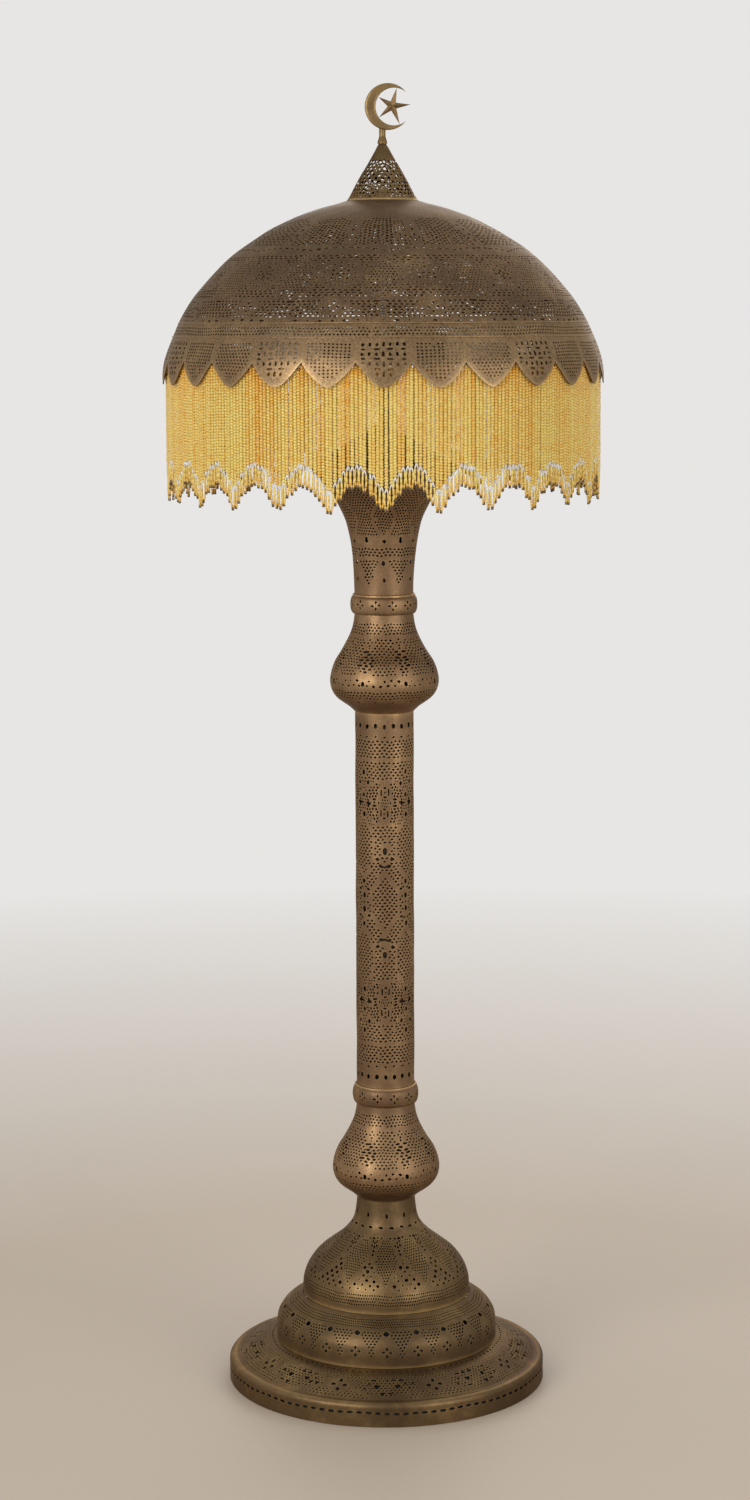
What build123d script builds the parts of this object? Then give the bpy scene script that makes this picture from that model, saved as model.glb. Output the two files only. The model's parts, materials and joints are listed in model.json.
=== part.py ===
from build123d import *
import os
from math import atan2, cos, degrees, hypot, pi, radians, sin, sqrt

# A pierced brass lantern floor lamp: tiered foot, onion knops, tubular column and flared neck
# threaded on one pipe, with a scalloped dome shade, its bead fringe and a crescent finial.
# Millimetres, +Z up, origin on the floor below the lamp's axis.

# Sheet and clearances
sheet = 1.4
fine_sheet = 1.0
run_gap = 0.06
loose_gap = 0.15
soft_gap = 0.4

# Foot
felt_thickness = 2.5
rim_lift = 0.5
tray_radius = 188.5
rim_height = 28.5
rim_round = 6.0
lip_width = 3.0
tray_height = 50.0
drum_radius = 131.5
drum_height = 54.5
drum_wall_height = 20.0
drum_rounding = 22.0
bell_radius = 99.8
bell_height = 116.5
bell_rounding = 48.0
bell_neck_rounding = 45.0
seat_ledge = 10.0
ballast_web = 8.0
ballast_rim = 12.0
ballast_hub_radius = 24.0

# Column
column_radius = 34.3
column_length = 446.0
knop_radius = 63.6
knop_height = 115.0
knop_belly_rounding = 30.0
knop_neck_rounding = 60.0
collar_radius = 39.2
collar_height = 23.0
collar_flange = 0.7
collar_lip = 2.0
collar_band = 10.0
trumpet_radius = 86.0
trumpet_height = 147.0
trumpet_foot_rounding = 150.0
trumpet_flare_rounding = 80.0
cap_rise = 41.0
cap_hole_radius = 8.0
disc_thickness = 6.0

# Pipe, rod and lamp holders
pipe_radius = 5.0
pipe_wall = 1.5
sleeve_radius = 6.8
nut_across_flats = 19.0
nut_height = 7.0
riser_height = 82.0
cluster_radius = 20.0
cluster_height = 28.0
rod_radius = 4.0
rod_thread = 12.0
nipple_length = 14.0
holder_radius = 17.0
holder_length = 50.0
liner_wall = 0.9
core_length = 16.0
bulb_radius = 30.0
bulb_reach = 72.0
bulb_cap_radius = 12.8
bulb_cap_length = 24.0
key_stem_radius = 2.0
key_reach = 14.0
key_width = 15.0
key_thickness = 3.2
key_grip = 11.0

# Shade
dome_radius = 254.6
dome_height = 207.0
scallops = 26
scallop_depth = 27.0
dome_columns = 24
dome_rows = 6
dome_first_row = 0.22
dome_last_row = 0.80
dome_hole_share = 0.20
dome_hole_height = 16.0
seat_radius = 30.0
seat_thickness = 3.0
hoop_height = 6.0
hoop_width = 2.8
fringe_thickness = 4.0
fringe_drop = 163.0
fringe_arch = 28.0
fringe_slots = 24
fringe_slot_width = 4.0
fringe_slot_margin = 8.0

# Finial
cone_radius = 41.2
cone_height = 64.0
cone_tip_radius = 4.0
cone_rim = 2.0
hub_flange = 2.0
hub_radius = 8.0
hub_height = 13.0
stem_radius = 3.7
stem_foot_radius = 5.6
stem_foot_height = 8.0
stem_rise = 15.2
tang_length = 14.0
crescent_radius = 26.3
crescent_bore_share = 0.80
crescent_shift_share = 0.27
crescent_offset = 6.3
crescent_thickness = 5.0
star_waist_share = 0.21
star_thickness = 4.4
star_arm = 21.0

# Piercing
rim_slot_pitch = 11.0
rim_slot_length = 6.4
rim_slot_height = 2.4
rim_slot_level = 16.6
drum_hole_radius = 2.6
drum_holes = 22
collar_petals = 12
petal_length = 3.6
petal_width = 2.0
column_slots = 16
slot_width = 2.2
slot_length = 5.5
slot_level = 14.0
cone_holes = 22
cone_hole_size = 3.2
bush_radius = 5.0
bush_flange_radius = 7.0
bush_flange = 1.5
cord_hole_radius = 3.4
bush_level = 11.0

# Heights of the stack above the floor
drum_base = tray_height
bell_base = drum_base + drum_height
lower_knop_base = bell_base + bell_height
lower_collar_base = lower_knop_base + knop_height
column_base = lower_collar_base + collar_height
upper_knop_base = column_base + column_length
upper_collar_base = upper_knop_base + knop_height
trumpet_base = upper_collar_base + collar_height
cap_base = trumpet_base + trumpet_height
cap_top = cap_base + cap_rise
cluster_base = cap_top + riser_height
cluster_level = cluster_base + cluster_height / 2

# The crown is where the dome's flat top lies; the shade hangs below it
shade_clearance = 152.0
crown = cluster_base + cluster_height + shade_clearance
tip_level = crown - dome_height
valley_level = tip_level + scallop_depth
seat_top = crown - sheet
fringe_top = valley_level - 3.0
fringe_bottom = fringe_top - fringe_drop
cone_base = crown + loose_gap
stem_base = cone_base + cone_height
crescent_level = stem_base + stem_rise + crescent_radius

# Inside a lamp holder, measured outwards from the cluster's side
core_base = nipple_length / 2 + 0.5
core_radius = holder_radius - fine_sheet - liner_wall - 2 * loose_gap
key_level = core_base + core_length / 2

# The cone's wall measured across, not along its slope
cone_wall = fine_sheet * hypot(cone_height, cone_radius - cone_tip_radius) / cone_height


def left_of(along):
    """Unit vector a quarter turn to the left of a direction in the drawing plane."""
    return Vector(-along.Y, along.X)


def inset_corner(before, after, wall):
    """Mitred corner of a wall's inner face where two edges of the outline meet."""
    first, second = left_of(before % 1), left_of(after % 0)
    return before @ 1 + (first + second) * (wall / (1 + first.dot(second)))


def inset_edge(edge, wall, start, end):
    """The line or arc drawn again one wall to its left, between two given corners."""
    if edge.geom_type == GeomType.LINE:
        return Line(start, end)
    return ThreePointArc(start, edge @ 0.5 + left_of(edge % 0.5) * wall, end)


def inset(outline, wall):
    """Inner face of a bent sheet whose outer face is the outline, edge by edge."""
    corners = [outline[0] @ 0 + left_of(outline[0] % 0) * wall]
    corners += [inset_corner(a, b, wall) for a, b in zip(outline, outline[1:])]
    corners.append(outline[-1] @ 1 + left_of(outline[-1] % 1) * wall)
    return [inset_edge(edge, wall, a, b) for edge, a, b in zip(outline, corners, corners[1:])]


def spun(outline, wall, base=0.0):
    """Shell of revolution whose outer face is the outline, drawn upwards as (radius, height)."""
    inner = inset(outline, wall)
    ends = [Line(outline[0] @ 0, inner[0] @ 0), Line(outline[-1] @ 1, inner[-1] @ 1)]
    section = make_face([*outline, *inner, *ends])
    return Pos(0, 0, base) * revolve(Plane.XZ * section, Axis.Z)


def turned(*points, base=0.0):
    """Solid of revolution from a closed polygon of (radius, height) points."""
    section = make_face(Polyline(*points, close=True))
    return Pos(0, 0, base) * revolve(Plane.XZ * section, Axis.Z)


def ring(outer, inner, height, base=0.0):
    """Flat washer, tube or disc with a round bore, standing on its base level."""
    return turned((inner, 0), (outer, 0), (outer, height), (inner, height), base=base)


def rounded(*corners, rounding):
    """Path of straight runs with a tangent arc at each inner corner."""
    return list(FilletPolyline(*corners, radius=rounding).wire().order_edges())


def flowing(direction, *points):
    """Chain of tangent arcs through the points, leaving the first one in the given direction."""
    arcs = []
    for start, end in zip(points, points[1:]):
        arcs.append(TangentArc(start, end, tangent=direction))
        direction = arcs[-1] % 1
    return arcs


def around(tool, count, start=0.0):
    """The tool repeated evenly about the lamp's axis."""
    return [Rot(0, 0, start + 360 * i / count) * tool for i in range(count)]


def radial(shape, radius, level, depth, tilt=0.0):
    """The flat shape, cut as a prism that points away from the axis, tilted up by an angle."""
    outward = Vector(cos(radians(tilt)), 0, sin(radians(tilt)))
    plane = Plane(origin=Vector(radius, 0, level) - outward * depth, x_dir=(0, 1, 0), z_dir=outward)
    return extrude(plane * shape, 2 * depth)


def diamond(width, height):
    """Lozenge with its points up, down and to both sides."""
    return make_face(
        Polyline((width / 2, 0), (0, height / 2), (-width / 2, 0), (0, -height / 2), close=True)
    )


def radius_at(outline, level):
    """Radius of a rising outline where it crosses a level, found by halving."""
    edge = next(edge for edge in outline if (edge @ 1).Y > level)
    low, high = 0.0, 1.0
    for _ in range(40):
        middle = (low + high) / 2
        if (edge @ middle).Y < level:
            low = middle
        else:
            high = middle
    return (edge @ low).X


# Foot


def tray():
    """Lowest tier: an upright rim with a rounded lip, rising in a cone to the drum's seat."""
    lip_start = tray_radius - rim_round
    lip_end = lip_start - lip_width
    seat_edge = drum_radius + seat_ledge / 4
    outline = [
        Line((tray_radius, rim_lift), (tray_radius, rim_height - rim_round)),
        CenterArc((lip_start, rim_height - rim_round), rim_round, 0, 90),
        Line((lip_start, rim_height), (lip_end, rim_height)),
        Line((lip_end, rim_height), (seat_edge, tray_height)),
        Line((seat_edge, tray_height), (drum_radius - seat_ledge, tray_height)),
    ]
    body = spun(outline, sheet)
    count = 2 * round(pi * tray_radius / rim_slot_pitch)
    slot = radial(Rectangle(rim_slot_length, rim_slot_height), tray_radius, rim_slot_level, 2 * sheet)
    body -= around(slot, count, 180 / count)
    back = Plane(origin=(0, tray_radius, bush_level), z_dir=(0, 1, 0))
    return body - back * Cylinder(bush_radius + loose_gap, 4 * sheet)


def drum():
    """Second tier: a short wall under a sloping shoulder, with a ledge for the bell."""
    rest = bell_radius + seat_ledge / 8
    bend = drum_wall_height + drum_rounding / 2
    outline = rounded(
        (drum_radius, 0), (drum_radius, bend), (rest, drum_height), rounding=drum_rounding
    )
    outline.append(Line((rest, drum_height), (bell_radius - seat_ledge, drum_height)))
    body = spun(outline, sheet, drum_base)
    slope = degrees(atan2(drum_height - bend, drum_radius - rest))
    radius = (2 * rest + drum_radius) / 3
    level = drum_base + (2 * drum_height + bend) / 3
    hole = radial(Circle(drum_hole_radius), radius, level, 2 * sheet, tilt=90 - slope)
    return body - around(hole, drum_holes)


def bell():
    """Third tier: a bell that runs up into the column's neck."""
    outline = rounded(
        (bell_radius, 0),
        (bell_radius, 0.28 * bell_height),
        (column_radius, 0.735 * bell_height),
        (column_radius, bell_height),
        rounding=[bell_rounding, bell_neck_rounding],
    )
    body = spun(outline, sheet, bell_base)
    slot = radial(Rectangle(slot_width, slot_length), column_radius, lower_knop_base - slot_level, 2 * sheet)
    return body - around(slot, column_slots)


def ballast():
    """Iron weight: a thin disc with a hub for the pipe and a rim that carries the tray's lip."""
    outer = tray_radius - rim_round - 0.2
    top = rim_height - sheet
    web_top = felt_thickness + ballast_web
    recess = nut_across_flats / sqrt(3) + 1
    recess_top = felt_thickness + nut_height + 2
    bore = pipe_radius + loose_gap
    body = turned(
        (recess, felt_thickness),
        (outer, felt_thickness),
        (outer, top),
        (outer - ballast_rim, top),
        (outer - ballast_rim, web_top),
        (ballast_hub_radius, web_top),
        (ballast_hub_radius, recess_top + ballast_web),
        (bore, recess_top + ballast_web),
        (bore, recess_top),
        (recess, recess_top),
    )
    channel_width = 2 * bush_flange_radius
    channel = Pos(0, outer, bush_level) * Box(channel_width, 2.6 * ballast_rim, channel_width)
    floor_trim = Pos(0, outer, felt_thickness / 2) * Box(4 * channel_width, channel_width, felt_thickness)
    return body - (channel - floor_trim)


def cord_bush():
    """Flanged grommet in the rim's back, where the flex would enter."""
    inner_face = -sheet - loose_gap
    body = turned(
        (cord_hole_radius, inner_face - bush_flange),
        (bush_flange_radius, inner_face - bush_flange),
        (bush_flange_radius, inner_face),
        (bush_radius, inner_face),
        (bush_radius, 0),
        (bush_flange_radius, 0),
        (bush_flange_radius, bush_flange),
        (cord_hole_radius, bush_flange),
    )
    return Plane(origin=(0, tray_radius, bush_level), z_dir=(0, 1, 0)) * body


# Column


def knop(base):
    """Onion-shaped knop: full and low, with a long neck above."""
    belly_corner = column_radius + 1.287 * (knop_radius - column_radius)
    outline = rounded(
        (column_radius, 0),
        (belly_corner, 0.274 * knop_height),
        (column_radius, 0.858 * knop_height),
        (column_radius, knop_height),
        rounding=[knop_belly_rounding, knop_neck_rounding],
    )
    return spun(outline, sheet, base)


def collar(base):
    """Bevelled ring between a knop and a tube, pierced with crosses of four petals."""
    edge = column_radius + collar_flange
    middle = collar_height / 2
    outline = Polyline(
        (edge, 0),
        (edge, collar_lip),
        (collar_radius, middle - collar_band / 2),
        (collar_radius, middle + collar_band / 2),
        (edge, collar_height - collar_lip),
        (edge, collar_height),
    )
    body = spun(outline.edges(), sheet, base)
    step = 0.5 * petal_length + 0.5 * petal_width
    swing = degrees(step / collar_radius)
    side = diamond(petal_length, petal_width)
    upright = diamond(petal_width, petal_length)
    start = 180 / collar_petals
    cuts = []
    for turn in (-swing, swing):
        tool = radial(side, collar_radius, base + middle, 2 * sheet)
        cuts += around(tool, collar_petals, start + turn)
    for rise in (-step, step):
        tool = radial(upright, collar_radius, base + middle + rise, 2 * sheet)
        cuts += around(tool, collar_petals, start)
    return body - cuts


def column_tube():
    """Plain tube with a row of upright slots and a row of wide slots at each end."""
    body = ring(column_radius, column_radius - sheet, column_length, column_base)
    upright = Rectangle(slot_width, slot_length)
    wide = Rectangle(slot_length, slot_width)
    cuts = []
    for level in (slot_level, column_length - slot_level):
        tool = radial(upright, column_radius, column_base + level, 2 * sheet)
        cuts += around(tool, column_slots)
    inner_level = slot_level + 2 * slot_length
    for level in (inner_level, column_length - inner_level):
        tool = radial(wide, column_radius, column_base + level, 2 * sheet)
        cuts += around(tool, column_slots, 180 / column_slots)
    return body - cuts


def trumpet():
    """Flared neck that opens from the column's width to a wide mouth with an upright edge."""
    edge = trumpet_height - 2.5 * sheet
    outline = rounded(
        (column_radius, 0),
        (column_radius, 0.19 * trumpet_height),
        (column_radius + 0.22 * (trumpet_radius - column_radius), 0.638 * trumpet_height),
        (trumpet_radius, edge),
        (trumpet_radius, trumpet_height),
        rounding=[trumpet_foot_rounding, trumpet_flare_rounding, 2 * sheet],
    )
    return spun(outline, sheet, trumpet_base)


def trumpet_cap():
    """Low conical lid on the trumpet's mouth, with a hole for the pipe."""
    upper = cap_rise - sheet
    return turned(
        (trumpet_radius, 0),
        (trumpet_radius, sheet),
        (cap_hole_radius + nut_across_flats / 2, cap_rise),
        (pipe_radius + loose_gap, cap_rise),
        (pipe_radius + loose_gap, upper),
        (cap_hole_radius + nut_across_flats / 2 - sheet / 2, upper),
        (trumpet_radius - 2 * sheet, 0),
        base=cap_base,
    )


def centring_discs():
    """Spigot discs that line up neighbouring shells on the pipe, one at each joint."""
    joints = (
        lower_knop_base,
        lower_collar_base,
        column_base,
        upper_knop_base,
        upper_collar_base,
        trumpet_base,
    )
    outer = column_radius - sheet - loose_gap
    discs = [
        ring(outer, pipe_radius + loose_gap, disc_thickness, joint - disc_thickness / 2)
        for joint in joints
    ]
    return Compound(children=discs)


# Pipe, rod and lamp holders


def hex_nut(base, bore):
    """Hexagon nut standing on its base level."""
    body = extrude(RegularPolygon(nut_across_flats / 2, 6, major_radius=False), nut_height)
    return Pos(0, 0, base) * (body - Pos(0, 0, nut_height / 2) * Cylinder(bore, 2 * nut_height))


def centre_pipe():
    """Threaded pipe through the whole stand, from the nut under the ballast to the cluster."""
    bottom = felt_thickness + 1.0
    top = cluster_base + cluster_height / 3
    return ring(pipe_radius, pipe_radius - pipe_wall, top - bottom, bottom)


def riser_sleeve():
    """Brass tube over the pipe between the cap's nut and the cluster."""
    bottom = cap_top + nut_height
    return ring(sleeve_radius, pipe_radius + loose_gap, cluster_base - bottom, bottom)


def socket_cluster():
    """Turned body that joins the pipe, two side nipples and the shade rod."""
    body = Pos(0, 0, cluster_level) * Cylinder(cluster_radius, cluster_height)
    body -= Pos(0, 0, cluster_base) * Cylinder(pipe_radius + loose_gap, 2 * cluster_height / 3)
    body -= Pos(0, 0, cluster_base + cluster_height) * Cylinder(rod_radius + loose_gap, cluster_height / 2)
    side = Rot(0, 90, 0) * Cylinder(pipe_radius + loose_gap, 2 * nipple_length)
    for direction in (-1, 1):
        body -= Pos(direction * (cluster_radius + nipple_length / 2), 0, cluster_level) * side
    return body


def along_side(direction, shape, start=0.0):
    """A shape drawn along +Z, laid on the cluster's level and pointing left (-1) or right (1)."""
    plane = Plane(
        origin=(direction * (cluster_radius + start), 0, cluster_level),
        x_dir=(0, 1, 0),
        z_dir=(direction, 0, 0),
    )
    return plane * shape


def nipples():
    """Short threaded tubes from the cluster into the two holders."""
    tube = ring(pipe_radius, pipe_radius - pipe_wall, nipple_length, -nipple_length / 2)
    return Compound(children=[along_side(side, tube) for side in (-1, 1)])


def key_bore(radius):
    """Cross hole for the key, open towards the lamp's front."""
    length = holder_radius + core_radius
    return Pos(-length / 2, 0, key_level) * Rot(0, 90, 0) * Cylinder(radius, length)


def holder_shell(side):
    """Brass holder shell, closed round the nipple, open for the bulb and pierced for the key."""
    inner = holder_radius - fine_sheet
    body = turned(
        (pipe_radius + loose_gap, 0),
        (holder_radius - 3, 0),
        (holder_radius, 3),
        (holder_radius, holder_length),
        (inner, holder_length),
        (inner, 3 + fine_sheet / 2),
        (inner - 3 + fine_sheet / 2, fine_sheet),
        (pipe_radius + loose_gap, fine_sheet),
    )
    return along_side(side, body - key_bore(key_stem_radius + 1))


def holder_liner(side):
    """Paper sleeve inside the holder shell."""
    outer = holder_radius - fine_sheet - loose_gap
    bottom = core_base
    body = ring(outer, outer - liner_wall, holder_length - 1 - bottom, bottom)
    return along_side(side, body - key_bore(key_stem_radius + 1))


def holder_core(side):
    """Insulating core with the switch, bored for the key's stem."""
    body = Pos(0, 0, core_base + core_length / 2) * Cylinder(core_radius, core_length)
    return along_side(side, body - key_stem(run_gap))


def key_stem(gap=0.0):
    """Round stem of the switch key, lying across the holder."""
    inside = core_radius / 2
    length = holder_radius + key_reach - inside
    return Pos(-inside - length / 2, 0, key_level) * Rot(0, 90, 0) * Cylinder(
        key_stem_radius + gap, length + gap
    )


def switch_key(side):
    """Flat turn key on its stem."""
    end = -holder_radius - key_reach
    outline = Plane.XZ * RectangleRounded(key_grip, key_width, key_grip / 3)
    grip = Pos(end + key_grip / 2, 0, key_level) * extrude(outline, key_thickness / 2, both=True)
    return along_side(side, key_stem() + grip)


def bulb_cap(side):
    """Metal screw cap of a bulb."""
    body = Pos(0, 0, core_base + core_length + bulb_cap_length / 2) * Cylinder(
        bulb_cap_radius, bulb_cap_length
    )
    return along_side(side, body)


def bulb_glass(side):
    """Pear-shaped glass envelope, open towards its cap."""
    middle = bulb_reach - bulb_radius
    lean = degrees(atan2(middle - bulb_radius / 3, bulb_radius - bulb_cap_radius))
    ball = CenterArc((0, middle), bulb_radius, lean - 90, 180 - lean)
    outline = [Line((bulb_cap_radius, 0), ball @ 0), ball]
    return along_side(side, spun(outline, fine_sheet, core_base + core_length + bulb_cap_length))


def shade_rod():
    """Solid rod from the cluster through the shade's crown into the finial."""
    bottom = cluster_base + 3 * cluster_height / 4
    top = crown + rod_thread
    return Pos(0, 0, (bottom + top) / 2) * Cylinder(rod_radius, top - bottom)


def shade_seat():
    """Disc on the rod that carries the shade's crown."""
    return ring(seat_radius, rod_radius + loose_gap, seat_thickness, seat_top - seat_thickness)


# Shade


def dome_outline():
    """Outer face of the dome as (radius, height over the tips): an upright hem and four arcs."""
    shares = [(1, 0.017), (0.961, 0.241), (0.708, 0.672), (0.464, 0.87)]
    points = [(dome_radius * out, dome_height * up) for out, up in shares]
    points.append((cone_radius + 1, dome_height))
    return [Line((dome_radius, -1), points[0]), *flowing((0, 1), *points)]


def scallop_pitch(radius):
    """Distance from tip to tip across one scallop."""
    return 2 * radius * sin(pi / scallops)


def dome_openings():
    """Grid of lozenges square to the dome's wall, each as wide as a share of its row's spacing."""
    path = Wire(dome_outline())
    tools = []
    for row in range(dome_rows):
        share = dome_first_row + (dome_last_row - dome_first_row) * row / (dome_rows - 1)
        spot, along = path @ share, path % share
        width = dome_hole_share * 2 * pi * spot.X / dome_columns
        tilt = degrees(atan2(-along.X, along.Y))
        tool = radial(diamond(width, dome_hole_height), spot.X, tip_level + spot.Y, 5, tilt)
        tools += around(tool, dome_columns, -90 + row % 2 * 180 / dome_columns)
    return tools


def shade_dome():
    """Pierced dome, flat at its crown, with its lower edge cut into lobes between sharp notches."""
    curve = dome_outline()
    flat = Line(curve[-1] @ 1, (rod_radius + run_gap, dome_height))
    body = spun([*curve, flat], sheet, tip_level)
    half = scallop_pitch(dome_radius) / 2 + 0.02
    flank = flowing((1, 0), (-half, 0), (-half / 2, 0.34 * scallop_depth), (0, scallop_depth))
    other = [arc.mirror(Plane.YZ) for arc in flank]
    below = Polyline((half, 0), (half, -4), (-half, -4), (-half, 0)).edges()
    notch = radial(make_face([*flank, *other, *below]), dome_radius, tip_level, 12)
    notches = around(notch, scallops, -90 + 180 / scallops)
    return body - notches[::2] - notches[1::2] - dome_openings()


def hoop_radius():
    """Outer radius of the hoop that just fits inside the dome above the notches."""
    return radius_at(inset(dome_outline(), sheet), fringe_top + hoop_height - tip_level) - loose_gap


def fringe_hoop():
    """Square brass hoop inside the dome that the strands are tied to."""
    outer = hoop_radius()
    return ring(outer, outer - hoop_width, hoop_height, fringe_top)


def bead_fringe():
    """Curtain of strands as one ring, arched along its lower edge and with gaps between strands."""
    middle = hoop_radius() - hoop_width / 2
    outer = middle + fringe_thickness / 2
    body = ring(outer, middle - fringe_thickness / 2, fringe_drop, fringe_bottom)
    half = scallop_pitch(outer) / 2 + 0.02
    arch = Ellipse(half, fringe_arch) & Pos(0, fringe_arch / 2) * Rectangle(3 * half, fringe_arch)
    below = Pos(0, -1) * Rectangle(2 * half, 2)
    tool = radial(arch + below, outer, fringe_bottom, 2 * fringe_thickness)
    body -= around(tool, scallops, -90 + 180 / scallops)
    low, high = fringe_bottom + fringe_arch + fringe_slot_margin, tip_level - fringe_slot_margin
    gap = radial(Rectangle(fringe_slot_width, high - low), outer, (low + high) / 2, 2 * fringe_thickness)
    return body - around(gap, fringe_slots, -90 + 180 / fringe_slots)


# Finial


def cone_bore(level):
    """Inner radius of the cone at a level over its edge."""
    share = level / cone_height
    return (cone_radius - 2 * cone_wall) * (1 - share) + (cone_tip_radius - cone_wall) * share


def finial_cone():
    """Pierced cone that covers the crown, with a thickened edge."""
    body = turned(
        (cone_bore(0), 0),
        (cone_radius, 0),
        (cone_radius, cone_rim),
        (cone_tip_radius, cone_height),
        (cone_bore(cone_height), cone_height),
        base=cone_base,
    )
    cuts = []
    for row in range(4):
        level = 5 + 9.5 * row
        radius = cone_radius - (cone_radius - cone_tip_radius) * level / cone_height
        size = cone_hole_size / 2
        tool = radial(RegularPolygon(size, 6), radius, cone_base + level, 6)
        count = cone_holes - 4 * row
        cuts += around(tool, count, row * 90 / count)
    return body - cuts


def finial_disc():
    """Disc with a threaded hub that screws the cone down on the rod."""
    bore = rod_radius + run_gap
    outer = cone_bore(hub_flange) - loose_gap
    return turned(
        (bore, 0),
        (outer, 0),
        (outer, hub_flange),
        (hub_radius, hub_flange),
        (hub_radius, hub_height),
        (bore, hub_height),
        base=cone_base,
    )


def finial_stem():
    """Turned stem with a flared foot and a tang in the cone's tip, hollowed to seat the crescent."""
    tang = cone_tip_radius - cone_wall - loose_gap
    top = crescent_level - crescent_radius / 2 - stem_base
    body = turned(
        (0, -tang_length),
        (tang, -tang_length),
        (tang, 0),
        (stem_foot_radius, 0),
        (stem_foot_radius, 1.5),
        (stem_radius, stem_foot_height),
        (stem_radius, top),
        (0, top),
        base=stem_base,
    )
    seat = Pos(crescent_offset, 0, crescent_level) * Rot(90, 0, 0) * Cylinder(crescent_radius, 60)
    return body - seat


def crescent():
    """Flat cast crescent, thick at its back and drawn out to two horns."""
    bore = Pos(crescent_shift_share * crescent_radius, 0) * Circle(crescent_bore_share * crescent_radius)
    plate = Plane.XZ * (Circle(crescent_radius) - bore)
    body = extrude(plate, crescent_thickness / 2, both=True)
    return Pos(crescent_offset, 0, crescent_level) * body


def star():
    """Five-pointed star with a ridge along each arm; four tips reach the crescent's inner edge."""
    shift = crescent_shift_share * crescent_radius
    bore = crescent_bore_share * crescent_radius - 0.03
    centre = Vector(shift - 1.9, 0.7)
    outline = []
    for arm in range(5):
        angle = radians(4 + 72 * arm)
        along = centre.X * cos(angle) + centre.Y * sin(angle) - shift * cos(angle)
        off = (centre - Vector(shift, 0)).length
        reach = star_arm if arm == 0 else -along + sqrt(bore**2 - off**2 + along**2)
        outline.append((centre.X + reach * cos(angle), centre.Y + reach * sin(angle)))
        waist = angle + radians(36)
        inner = star_waist_share * crescent_radius
        outline.append((centre.X + inner * cos(waist), centre.Y + inner * sin(waist)))
    faces = []
    for height in (-star_thickness / 2, star_thickness / 2):
        peak = (centre.X, height, centre.Y)
        for a, b in zip(outline, outline[1:] + outline[:1]):
            faces.append(Face(Wire.make_polygon([(a[0], 0, a[1]), (b[0], 0, b[1]), peak])))
    return Pos(crescent_offset, 0, crescent_level) * Solid(Shell(faces))


def felt_pad():
    """Felt disc under the foot, the only piece that touches the floor."""
    outer = tray_radius - sheet - soft_gap
    return Cylinder(outer, felt_thickness, align=(Align.CENTER, Align.CENTER, Align.MIN))


def nodes():
    """Every sub-part by its node name."""
    found = {
        "felt_pad": felt_pad(),
        "base_tray": tray(),
        "base_drum": drum(),
        "base_bell": bell(),
        "base_ballast": ballast(),
        "cord_bush": cord_bush(),
        "base_nut": hex_nut(felt_thickness + 2, pipe_radius + loose_gap),
        "lower_knop": knop(lower_knop_base),
        "lower_collar": collar(lower_collar_base),
        "column_tube": column_tube(),
        "upper_knop": knop(upper_knop_base),
        "upper_collar": collar(upper_collar_base),
        "trumpet_neck": trumpet(),
        "trumpet_cap": trumpet_cap(),
        "centring_discs": centring_discs(),
        "centre_pipe": centre_pipe(),
        "cap_nut": hex_nut(cap_top, pipe_radius + loose_gap),
        "riser_sleeve": riser_sleeve(),
        "socket_cluster": socket_cluster(),
        "socket_nipples": nipples(),
        "shade_rod": shade_rod(),
        "shade_seat": shade_seat(),
        "seat_nut": hex_nut(seat_top - seat_thickness - nut_height, rod_radius + loose_gap),
        "shade_dome": shade_dome(),
        "fringe_hoop": fringe_hoop(),
        "bead_fringe": bead_fringe(),
        "finial_cone": finial_cone(),
        "finial_disc": finial_disc(),
        "finial_stem": finial_stem(),
        "finial_crescent": crescent(),
        "finial_star": star(),
    }
    for side, word in ((-1, "left"), (1, "right")):
        found[f"holder_shell_{word}"] = holder_shell(side)
        found[f"holder_liner_{word}"] = holder_liner(side)
        found[f"holder_core_{word}"] = holder_core(side)
        found[f"switch_key_{word}"] = switch_key(side)
        found[f"bulb_cap_{word}"] = bulb_cap(side)
        found[f"bulb_glass_{word}"] = bulb_glass(side)
    return found


os.makedirs("parts", exist_ok=True)
for name, solid in nodes().items():
    export_step(solid, f"parts/{name}.step")
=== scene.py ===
"""Pierced brass lantern floor lamp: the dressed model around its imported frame.

Every turned shell is a surface of two parameters, the turn about the lamp's axis and the distance
along the shell's outline. Its piercing is a field on those parameters that is negative inside a
hole, and the sheet is cut along the field's zero line, then given its thickness.
"""

import json
import logging
import math
from dataclasses import dataclass, field
from enum import Enum
from typing import Sequence

import bpy
import numpy as np
from mathutils import Euler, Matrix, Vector

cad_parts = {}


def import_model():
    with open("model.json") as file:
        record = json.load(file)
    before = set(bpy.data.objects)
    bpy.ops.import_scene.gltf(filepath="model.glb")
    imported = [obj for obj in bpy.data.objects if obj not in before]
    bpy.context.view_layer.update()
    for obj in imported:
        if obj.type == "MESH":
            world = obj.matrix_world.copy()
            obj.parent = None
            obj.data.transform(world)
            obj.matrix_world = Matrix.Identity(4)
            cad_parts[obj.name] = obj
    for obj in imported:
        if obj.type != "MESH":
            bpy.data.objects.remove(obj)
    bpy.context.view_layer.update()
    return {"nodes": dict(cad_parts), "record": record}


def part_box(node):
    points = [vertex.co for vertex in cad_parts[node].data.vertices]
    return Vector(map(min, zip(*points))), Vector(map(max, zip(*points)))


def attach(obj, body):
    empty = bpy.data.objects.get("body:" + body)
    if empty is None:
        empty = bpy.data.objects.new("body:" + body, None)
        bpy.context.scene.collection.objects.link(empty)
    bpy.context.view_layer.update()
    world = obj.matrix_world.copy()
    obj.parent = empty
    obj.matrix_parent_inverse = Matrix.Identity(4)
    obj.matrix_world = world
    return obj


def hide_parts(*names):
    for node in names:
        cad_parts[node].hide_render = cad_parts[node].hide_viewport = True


Array = np.ndarray
Colour = tuple[float, float, float]
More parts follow.
